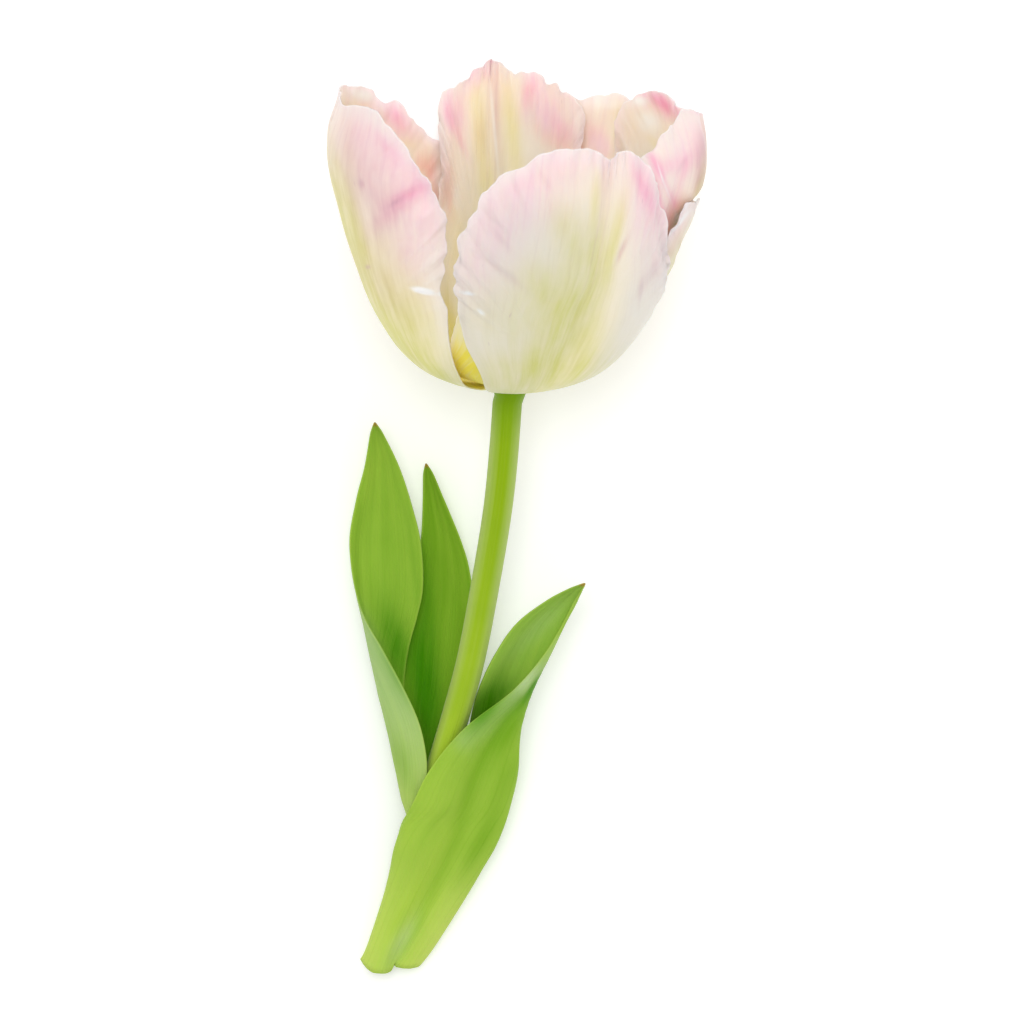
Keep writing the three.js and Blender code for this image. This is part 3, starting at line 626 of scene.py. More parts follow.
def margin_of(grid):
    """A grid's values round the petal's margin, up its low side and down its high one."""
    first = (len(grid) - 1) // FOOT_SHARE
    return np.concatenate([grid[first:-1, 0], grid[-1], grid[-2:first - 1:-1, -1]])


def to_outline(petal, margin_a, here, step):
    """How far in each point of the margin has to go to lie on its outline in plan, infinite
    where none is in reach. here: where it lies. step: how that changes by each mm."""
    (here_x, here_y), (step_x, step_y) = here, step
    wanted = np.full(margin_a.shape, np.inf)
    in_sight = np.hypot(step_x, step_y) * PLAN_STEP > LEAST_SEEN
    for least, most, farthest, line in OUTLINES.get(petal["name"], []):
        held = in_sight & (margin_a >= least) & (margin_a <= most)
        for (x0, y0), (x1, y1) in zip(line, line[1:]):
            wide, tall = x1 - x0, y1 - y0
            det = wide * step_y - tall * step_x
            det = np.where(np.abs(det) < 1e-6, 1e-6, det)
            t = (wide * (y0 - here_y) - tall * (x0 - here_x)) / det
            r = (step_x * (y0 - here_y) - step_y * (x0 - here_x)) / det
            nearer = np.abs(t) < np.minimum(np.abs(wanted), farthest)
            wanted = np.where(held & nearer & (r >= 0) & (r <= 1), t, wanted)
    return wanted


def margin_cut(petal, margin_a, way, here, step):
    """How far in each point of the margin goes: small lobes, shallow where it runs along
    the line of sight, or where its outline is known, onto that."""
    (width, depth), seed = petal["frill"], petal["seed"]
    broad_on = np.hypot(np.gradient(here[0]), np.gradient(here[1])) * PLAN_STEP
    broad_on = averaged(smooth(broad_on / np.maximum(np.gradient(way), 1e-3), 0.2, 0.6), 6)
    depth = depth * (0.15 + 0.85 * broad_on)
    cut = depth * lobes(way, width, seed) + 0.2 * wobble(way / 9, seed + 1)
    wanted = to_outline(petal, margin_a, here, step)
    found = np.isfinite(wanted)
    if found.any():
        fine = 0.25 * depth * lobes(way, width * 0.4, seed + 9)
        share = np.convolve(found, np.ones(7) / 7, "same")
        cut = share * (np.interp(way, way[found], wanted[found]) + fine) + (1 - share) * cut
    cut = (cut[None, :] + STEEPEST * np.abs(way[:, None] - way[None, :])).min(1)
    return np.convolve(np.pad(cut, 1, "edge"), [0.25, 0.5, 0.25], "valid")


def corner_areas(u, s):
    """The least of the four corner areas of each cell of a flat grid, under 0 if turned."""
    side_u, side_s = np.diff(u, axis=1), np.diff(s, axis=1)
    up_u, up_s = np.diff(u, axis=0), np.diff(s, axis=0)
    return np.minimum.reduce([
        side_u[i] * up_s[:, j] - side_s[i] * up_u[:, j] for i in HALVES for j in HALVES
    ])


def corners_of(cells):
    """Which points of a grid are corners of the marked cells."""
    points = np.zeros((cells.shape[0] + 1, cells.shape[1] + 1), bool)
    for i in HALVES:
        for j in HALVES:
            points[i, j] |= cells
    return points


def untangle(u, s):
    """Evens out the points round cells that a steep cut has squeezed, and on the margin
    those of cells that it has turned over."""
    top, last = u.shape[0] - 1, u.shape[1] - 1
    rise = np.arange(top + 1)
    ring = (
        np.concatenate([rise, np.full(last - 1, top), rise[::-1]]),
        np.concatenate([0 * rise, np.arange(1, last), 0 * rise + last]),
    )
    for _ in range(UNTANGLING_ROUNDS):
        areas = corner_areas(u, s)
        on_ring = corners_of(areas < TURNED)[ring][1:-1]
        near = corners_of(areas < SQUEEZED)[1:-1, 1:-1]
        if not (near.any() or on_ring.any()):
            break
        for grid in (u, s):
            line = grid[ring]
            line[1:-1] = np.where(on_ring, (line[:-2] + line[2:]) / 2, line[1:-1])
            grid[ring] = line
            mean = (grid[:-2, 1:-1] + grid[2:, 1:-1] + grid[1:-1, :-2] + grid[1:-1, 2:]) / 4
            grid[1:-1, 1:-1] = np.where(near, mean, grid[1:-1, 1:-1])
    return u, s


def petal_relief(petal, a, u, s, edge, way_at, furrow, place):
    """Furrows that run in from the cuts, broader folds, and a crease at the midrib."""
    relief = 0.45 * wobble(way_at / 8, petal["seed"] + 6) * np.exp(-edge / 10)
    relief = relief - 0.3 * np.clip(furrow, -1, 1.2) * np.exp(-edge / 6)
    relief = relief * smooth(s, HUB, HUB + 20) * smooth(np.abs(u), 0, 6) * off_crest(petal, a)
    relief = relief - 0.18 * bell(u / 0.9) * smooth(s, 20, 50)
    for *oval, height in FOLDS.get(petal["name"], []):
        relief = relief + height * spot(place, *oval)
    return relief[..., None]


def petal_grid(petal):
    """A petal's outer and inner face, and its values at each point: the share a of the
    half width, that in mm (u), the length s and the distance from the margin."""
    half_width, point, form = petal_surface(petal)
    columns, rows = petal["fine"]
    t = np.linspace(-1, 1, columns + 1)
    across = (1 - CROWDING) * t + CROWDING * np.sin(math.pi * t / 2)
    t = np.linspace(0, 1, rows + 1)
    along = (t + ROW_CROWDING * t * (1 - t))[:, None]
    lobe = RIM_LOBES * ((across + 1) / 2 + LOBE_UNEVEN * np.sin(9 * across + petal["phase"]))
    notch = (2 * np.abs(lobe - np.floor(lobe) - 0.5)) ** 2 * off_crest(petal, across)
    length = curve_through(petal["rim"])(across) - FINE_NOTCH * NOTCH_DEPTH * notch
    length = length + curve_through(petal.get("reach", FLAT))(across)

    # The even grid, how far each point lies from the margin, and where round the margin,
    # seen from a hub.
    s = along * length
    a = np.broadcast_to(across, s.shape)
    u = a * half_width(a, s)
    to_rim = length - s
    to_side = (1 - np.abs(a)) * half_width(a, s)
    near = np.maximum(1 - np.minimum(to_side, to_rim) / WAVE_REACH, 0)
    margin_u, margin_s = margin_of(u), margin_of(s)
    sparse = np.unique(np.append(np.arange(0, len(margin_u), 2), len(margin_u) - 1))
    edge, _ = off_line((u, s), list(zip(margin_u[sparse], margin_s[sparse])))
    steps = np.hypot(np.diff(margin_u), np.diff(margin_s))
    way = np.concatenate([[0], np.cumsum(steps)])
    bearing = np.maximum.accumulate(np.arctan2(margin_u, margin_s - HUB))
    way_at = np.interp(np.arctan2(u, s - HUB), bearing, way)
    far = np.maximum(np.hypot(u, s - HUB), 1)

    def drawn_in(shift):
        """The share and length of the points, drawn in towards the hub by shift, in mm."""
        new_s = s - shift * (s - HUB) / far
        return u * (1 - shift / far) / np.maximum(half_width(a, new_s), 1e-3), new_s

    def face(new_a, new_s):
        return point(new_a, new_s, form(new_a, new_s, along, near, to_rim))

    here, there = (np.array(plan(margin_of(face(*drawn_in(shift))))) for shift in (0, 1))
    cut = margin_cut(petal, margin_of(a), way, here, there - here)
    lift = smooth(s, HUB, HUB + 12)
    a, s = drawn_in(np.interp(way_at, way, cut) * np.exp(-edge / CUT_REACH) * lift)
    u, s = untangle(a * half_width(a, s), s)
    a = u / np.maximum(half_width(u, s), 1e-3)
    base = face(a, s)
    furrow = np.interp(way_at, way, cut - averaged(cut, 12))
    outward = calm_normals(base)
    thickness = EDGE_THICKNESS + (PETAL_THICKNESS - EDGE_THICKNESS) * smooth(edge, 0, EDGE_REACH)
    back = base + outward * petal_relief(petal, a, u, s, edge, way_at, furrow, plan(base))
    front = back - outward * thickness[..., None]
    floor = PETAL_THICKNESS + GAP if petal["inner"] else 0
    back[..., 2] = np.maximum(back[..., 2], floor)
    front[..., 2] = np.maximum(front[..., 2], floor + thickness)
    return back, front, dict(across=a, u_mm=u, length_mm=s, edge_mm=edge)


# ---- leaves ----

stem_x, stem_z, stem_radius = (
    curve_through([[p[1], p[k]] for p in STEM]) for k in (0, 2, 3)
)


def sheath(y, angles, clear):
    """Points of a section that run round the stem, clear of it, at angles from the top."""
    reach = stem_radius(y) + clear
    return [
        [
            float(stem_x(y) + reach * SHEATH_SLANT * math.sin(math.radians(angle))), y,
            float(stem_z(y) + reach * math.cos(math.radians(angle))),
        ]
        for angle in angles
    ]


def section(y, points):
    return [[x, y, z] for x, z in points]


# Sections across each leaf, from its foot to its tip.
LEAF_LEFT = [
    sheath(-118, [-8, -50, -92, -135, -178], FIRST_LAYER + 0.15),
    sheath(-113.5, [-14, -55, -95, -135, -175], FIRST_LAYER + 0.25),
    section(-107.9, [[-22.2, 15.3], [-25.8, 13.9], [-27.4, 10.8], [-25, 7.7], [-20.8, 6.9]]),
    section(-100.6, [[-20.9, 16.4], [-26.6, 14.6], [-28.9, 10.8], [-26.5, 7.8], [-21.5, 7.1]]),
    section(-89.4, [[-22.6, 17], [-29.4, 14.2], [-31.3, 10], [-29, 7], [-25.5, 6.4]]),
    section(-79.6, [[-26.8, 16.8], [-32.5, 13.6], [-33.7, 9.6], [-31, 6.8], [-27, 6.2]]),
    section(-68.9, [[-32.6, 16], [-35.9, 12.8], [-35.2, 8.6], [-31, 6.4], [-25.8, 6.5]]),
    section(-60.6, [[-37.4, 14.8], [-37.7, 11.4], [-35, 7.8], [-29.6, 6.3], [-23.6, 7]]),
    section(-53.3, [[-39.7, 13.8], [-38.7, 10], [-34.4, 7], [-28.4, 6.2], [-22.1, 7.5]]),
    section(-40.6, [[-41.2, 12], [-38.7, 8.4], [-33.6, 6.2], [-28, 6.2], [-22.7, 8]]),
    section(-30.7, [[-39.7, 11.5], [-36.7, 8.7], [-32.7, 7], [-28.8, 7.2], [-25.1, 9]]),
    section(-21.1, [[-37.3, 12], [-35.2, 10], [-32.9, 8.9], [-30.6, 9], [-28.3, 10.4]]),
    section(-13.8, [[-36, 12.8], [-35, 11.8], [-34, 11.2], [-32.9, 11.2], [-31.8, 12]]),
    section(-9.6, [[-35.2, 13.6], [-34.9, 13.3], [-34.6, 13.2], [-34.3, 13.3], [-34, 13.6]]),
]
LEAF_MIDDLE = [
    sheath(-124.5, [213, 194, 175, 155, 135], FIRST_LAYER + 0.1),
    sheath(-119.3, [213, 194, 175, 155, 135], FIRST_LAYER + NEXT_LAYER + 0.1),
    section(-107.9, [[-26, 5.9], [-22.8, 5.5], [-19.4, 5.6], [-16.4, 6.2], [-13.8, 7.3]]),
    section(-100, [[-27.5, 5.4], [-23.5, 5], [-19.5, 5], [-16, 5.6], [-12.9, 6.9]]),
    section(-89.7, [[-28.3, 4.6], [-24, 4], [-20, 4], [-16.6, 4.7], [-13.6, 6.2]]),
    section(-77.5, [[-28.2, 4], [-23.6, 3.2], [-19, 3], [-14.4, 3.8], [-10.4, 5.7]]),
    section(-66.3, [[-27.8, 3.8], [-23.2, 2.8], [-18.5, 2.6], [-13.4, 3.3], [-8.8, 5.5]]),
    section(-55.9, [[-25.7, 3.8], [-21.6, 2.8], [-17.3, 2.5], [-12.9, 3.3], [-8.9, 5.6]]),
    section(-47.3, [[-24.2, 4], [-20.6, 3], [-16.9, 2.9], [-13.3, 3.8], [-10.1, 5.9]]),
    section(-40.6, [[-22.7, 4.5], [-19.8, 3.7], [-17.1, 3.6], [-14.4, 4.5], [-12.1, 6.3]]),
    section(-29.9, [[-22.1, 6], [-20.5, 5.3], [-19.1, 5.2], [-17.7, 5.8], [-16.5, 7]]),
    section(-23.4, [[-22, 7.6], [-21.3, 7.2], [-20.6, 7.1], [-19.9, 7.4], [-19.2, 8]]),
    section(-20.3, [[-21.8, 8.7], [-21.5, 8.5], [-21.3, 8.5], [-21, 8.5], [-20.7, 8.7]]),
]
LEAF_RIGHT = [
    sheath(-152.6, [-140, -85, -30, 25, 65], FIRST_LAYER + 0.15)
    + section(-152.6, [[-26.9, 5.2], [-22.9, 3.2], [-27.4, 1.4], [-32.6, 0.7]]),
    sheath(-134.7, [-145, -95, -40, 20], FIRST_LAYER + 0.35)
    + section(-134.7, [[-21.4, 7.4], [-17, 8.3], [-11.5, 5.8], [-16.6, 1.5], [-24.5, 1.3]]),
    sheath(-127, [-128, -82, -36, 14], FIRST_LAYER + 0.8)
    + section(-127, [[-17.8, 8.8], [-12.8, 9.9], [-7.1, 7.1], [-12.2, 0.9], [-22, 1.4]]),
    sheath(-120.9, [-112, -72, -31, 10], FIRST_LAYER + NEXT_LAYER + 0.4)
    + section(-120.9, [[-14.6, 10], [-9.2, 11.2], [-3.5, 8.2], [-9.2, 0.5], [-19.6, 1.6]]),
    sheath(-115.2, [-88, -56, -24, 8], FIRST_LAYER + NEXT_LAYER + 0.5)
    + section(-115.2, [[-12.8, 11.5], [-6.5, 12.4], [-1.1, 9.2], [-6.6, 0.4], [-16.6, 1.6]]),
    section(-109.5, [[-24.8, 16], [-22.4, 17.1], [-19.6, 17.3], [-15.6, 16], [-10.9, 13.1],
                     [-4.6, 13.9], [0.6, 10.2], [-4.2, 0.4], [-13.6, 1.8]]),
    section(-100.9, [[-20.5, 17.9], [-17, 18.9], [-13.6, 18.3], [-11, 17], [-8.1, 15.7],
                     [-2.5, 15.8], [2.5, 12.2], [-2, 2.6], [-10.8, 3.2]]),
    section(-89.7, [[-11.4, 20.2], [-8.6, 20.3], [-6, 19.6], [-3.9, 18.5], [-1.8, 17.5],
                    [1.3, 16.8], [3.4, 13.8], [-2.2, 8], [-10, 8.6]]),
    section(-79.3, [[1.8, 20.8], [2.8, 20.6], [3.7, 20], [4.5, 19.2], [5.3, 18.1],
                    [6.2, 16.6], [6.4, 14.2], [-0.4, 11.3], [-7.4, 14.5]]),
    section(-70.2, [[9.6, 21], [10, 20.6], [10.3, 20.2], [10.6, 19.8], [10.8, 19.2],
                    [11, 18.3], [10.8, 17], [3.5, 13.8], [-3.1, 16.8]]),
    section(-62.4, [[14.4, 21.4], [14.6, 21.1], [14.7, 20.8], [14.8, 20.5], [14.8, 20],
                    [14.8, 19.4], [14.5, 18.6], [8.6, 16.2], [2.3, 18.4]]),
    section(-55.9, [[17.8, 22], [18, 21.8], [18.1, 21.6], [18.2, 21.4], [18.3, 21.1],
                    [18.3, 20.8], [18.2, 20.4], [14.8, 19.3], [10.7, 20.2]]),
    section(-51.6, [[20.7, 23], [20.7, 22.8], [20.7, 22.6], [20.6, 22.5], [20.5, 22.4],
                    [20.3, 22.3], [20, 22.3], [19.6, 22.3], [19.2, 22.5]]),
]
TIP_LENGTH = 3.5
CUT_END = -152.6
CUT_END_RUN = 7
RIB_HEIGHT = 0.03
RIB_COUNT = 19
SWELL_HEIGHT = 0.06
HALF_EDGE = 0.16

# How far along the cut end of the right leaf lies, at each x: the part round the stem is
# rounded, and a notch parts it from the folded blade.
CUT_OUTLINE = [
    [-38.2, -150.7], [-37.6, -151.6], [-36.4, -153], [-34.8, -154], [-32.6, -154.2],
    [-31, -153.8], [-30.3, -152.6], [-29.7, -151.9], [-29, -152.5], [-26, -152.8],
    [-23.6, -152.3], [-22.8, -151.6],
]


def leaf_grid(sections, rows, columns):
    """The middle of a leaf's blade, as the solid has it, kept off the table."""
    points = np.array(sections, float).transpose(1, 0, 2)
    through = catmull_rom(points, np.linspace(0, 1, columns + 1))
    lines = catmull_rom(through.transpose(1, 0, 2), np.linspace(0, 1, rows + 1))
    lines[..., 2] = np.maximum(lines[..., 2], LEAF_THICKNESS / 2)
    return lines


def run_along(grid, axis):
    """How far each point of a grid lies along its line, from the line's start."""
    step = np.linalg.norm(np.diff(grid, axis=axis), axis=-1)
    return np.concatenate([0 * step.take([0], axis), np.cumsum(step, axis)], axis)


def leaf_piece(name, sections, rows, columns, seed):
    """A leaf with a rounded tip, thin margins, fine ribs and soft swells."""
    middle = leaf_grid(sections, rows, columns)
    if name == "leaf_right":
        shift = curve_through(CUT_OUTLINE)(middle[0, :, 0]) - CUT_END
        fade = np.maximum(1 - (middle[..., 1] - middle[0, :, 1]) / CUT_END_RUN, 0) ** 2
        middle[..., 1] += shift * fade
    run = run_along(middle, 0)
    to_tip = run[-1:] - run
    spine = middle.mean(1, keepdims=True)
    rounding = np.sqrt(1 - (1 - np.clip(to_tip / TIP_LENGTH, 0.004, 1)) ** 2)
    middle = spine + (middle - spine) * rounding[..., None]
    normal = normals_of(middle)
    arc = run_along(middle, 1)
    width = arc[:, -1:]
    edge = np.minimum(arc, width - arc)
    share = arc / np.maximum(width, 1e-6)
    rib = RIB_HEIGHT * np.cos(2 * math.pi * share * RIB_COUNT) * smooth(width, 4, 12)
    swell = SWELL_HEIGHT * wobble(run / 23 + share * 2, seed) * smooth(run, 8, 30)
    middle = middle + normal * (rib + swell)[..., None]
    half = smooth(np.minimum(edge, to_tip), 0, 2.5)[..., None]
    half = HALF_EDGE + (LEAF_THICKNESS / 2 - HALF_EDGE) * half
    back, front = middle + normal * half, middle - normal * half
    lift = np.maximum(0.02 - np.minimum(back[..., 2], front[..., 2]), 0)
    back[..., 2] += lift
    front[..., 2] += lift
    values = dict(share=share, edge_mm=edge, run_mm=run, tip_mm=to_tip)
    return blade("fine_" + name, back, front, values, leaf_marks(name, middle))


# ---- node trees ----


def linear(red, green, blue):
    """A screen colour (0 to 255) as the linear colour that a shader takes."""
    c = np.array([red, green, blue]) / 255
    c = np.where(c <= 0.04045, c / 12.92, ((c + 0.055) / 1.055) ** 2.4)
    return (*c.tolist(), 1.0)


class Graph:
    """A short way to write a material's nodes. Values are sockets or plain numbers."""

    def __init__(self, name):
        self.material = bpy.data.materials.new(name)
        self.material.use_nodes = True
        self.tree = self.material.node_tree
        self.shader = self.tree.nodes["Principled BSDF"]

    def put(self, socket, value):
        if isinstance(value, bpy.types.NodeSocket):
            self.tree.links.new(value, socket)
        else:
            socket.default_value = value

    def node(self, kind, inputs, **settings):
        made = self.tree.nodes.new("ShaderNode" + kind)
        for key, value in settings.items():
            setattr(made, key, value)
        for key, value in inputs.items():
            self.put(made.inputs[key], value)
        return made.outputs

    def attribute(self, name):
        return self.node("Attribute", {}, attribute_name=name)["Fac"]

    def math(self, operation, a, b=0.0, clamp=False):
        return self.node("Math", {0: a, 1: b}, operation=operation, use_clamp=clamp)[0]

    def add(self, a, b):
        return self.math("ADD", a, b)

    def times(self, a, b, clamp=False):
        return self.math("MULTIPLY", a, b, clamp)

    def ramp(self, value, low, high, to_low=0.0, to_high=1.0):
        inputs = {
            "Value": value, "From Min": low, "From Max": high, "To Min": to_low,
            "To Max": to_high,
        }
        return self.node("MapRange", inputs, interpolation_type="SMOOTHSTEP")[0]

    def vector(self, x, y, z):
        return self.node("CombineXYZ", {"X": x, "Y": y, "Z": z})[0]

    def noise(self, vector, scale, detail=4.0, roughness=0.55):
        inputs = {"Vector": vector, "Scale": scale, "Detail": detail, "Roughness": roughness}
        return self.node("TexNoise", inputs)["Fac"]

    def cloud(self, scale, detail, roughness=0.55):
        """Noise that is fixed to the piece's own place."""
        place = self.node("TexCoord", {})["Object"]
        return self.noise(place, scale, detail, roughness)

    def mix(self, share, a, b):
        return self.node("Mix", {0: share, 6: a, 7: b}, data_type="RGBA")[2]

    def surface(self, colour, roughness, height, distance, **constants):
        """Joins up the shader. Constants are its own inputs, with _ for a space."""
        self.put(self.shader.inputs["Base Color"], colour)
        self.put(self.shader.inputs["Roughness"], roughness)
        bump = self.node("Bump", {"Height": height, "Distance": distance})
        self.put(self.shader.inputs["Normal"], bump[0])
        for name, value in constants.items():
            self.shader.inputs[name.replace("_", " ")].default_value = value
        return self.material


# ---- petal materials ----

CREAM = linear(248, 234, 219)
WARM = linear(249, 234, 214)
# salmon marks are painted shade: the warm orange-pink that the shaded inside of the cup and the
# recesses between petals take on.
LAYERS = dict(
    gold=linear(246, 227, 84), lime=linear(214, 212, 130), salmon=linear(248, 175, 166),
    blush=linear(249, 212, 218), rose=linear(243, 168, 196), mauve=linear(190, 150, 168),
    white=linear(255, 252, 248),
)


def petal_material():
    g = Graph("petal")
    across, length = g.attribute("across"), g.attribute("length_mm")
    inside, edge, u = g.attribute("inside"), g.attribute("edge_mm"), g.attribute("u_mm")
    fan = g.vector(g.times(across, 8.0), g.times(length, 0.05), g.times(inside, 4.0))
    streak = g.noise(fan, 1.0, 4.0, 0.55)
    veins = g.vector(g.times(across, 34.0), g.times(length, 0.05), g.add(inside, 9.0))
    vein = g.noise(veins, 1.0, 2.0, 0.5)
    cloud = g.cloud(90.0, 3.0, 0.5)
    uneven = g.add(g.add(g.times(streak, 1.5), g.times(vein, 0.6)), g.times(cloud, 0.7))
    uneven = g.math("MAXIMUM", g.add(uneven, -0.4), 0.0)
    colour = g.mix(g.times(inside, 0.8), CREAM, WARM)
    # salmon in this loop is painted shade.
    for name in ("lime", "gold", "salmon", "blush", "rose", "mauve"):
        share = g.times(g.attribute(name), uneven, True)
        colour = g.mix(share, colour, LAYERS[name])
    lines = g.math("ABSOLUTE", g.math("SUBTRACT", g.math("ABSOLUTE", u), 1.1))
    lines = g.times(g.ramp(lines, 0.6, 0.05), g.ramp(length, 40.0, 70.0))
    lines = g.times(lines, g.ramp(streak, 0.3, 0.7, 0.03, 0.15))
    colour = g.mix(lines, colour, LAYERS["mauve"])
    fine = g.times(g.ramp(vein, 0.5, 0.75), g.ramp(length, 10.0, 40.0))
    colour = g.mix(g.times(fine, 0.06), colour, LAYERS["mauve"])
    speck = g.vector(g.times(across, 22.0), g.times(length, 0.2), g.add(inside, 7.0))
    speck = g.ramp(g.noise(speck, 1.0, 1.0), 0.74, 0.8)
    colour = g.mix(g.times(speck, 0.2), colour, LAYERS["mauve"])
    # Painted highlight: a thin white line along each cut margin, where the thin edge catches the light.
    colour = g.mix(g.times(g.ramp(edge, 0.5, 0.0), 0.22), colour, LAYERS["white"])
    # White marks: partly the petals' own white, partly painted highlights on turned lobes and painted
    # light in shaded recesses.
    colour = g.mix(g.ramp(g.attribute("white"), 0.1, 0.8), colour, LAYERS["white"])
    roughness = g.ramp(streak, 0.3, 0.7, 0.44, 0.58)
    return g.surface(
        colour, roughness, g.add(g.times(vein, 0.6), g.times(streak, 0.8)), 0.00025,
        Subsurface_Weight=0.8, Subsurface_Radius=(1.0, 0.9, 0.8), Subsurface_Scale=0.002,
        Sheen_Weight=0.1, Sheen_Roughness=0.4, Specular_IOR_Level=0.35,
    )


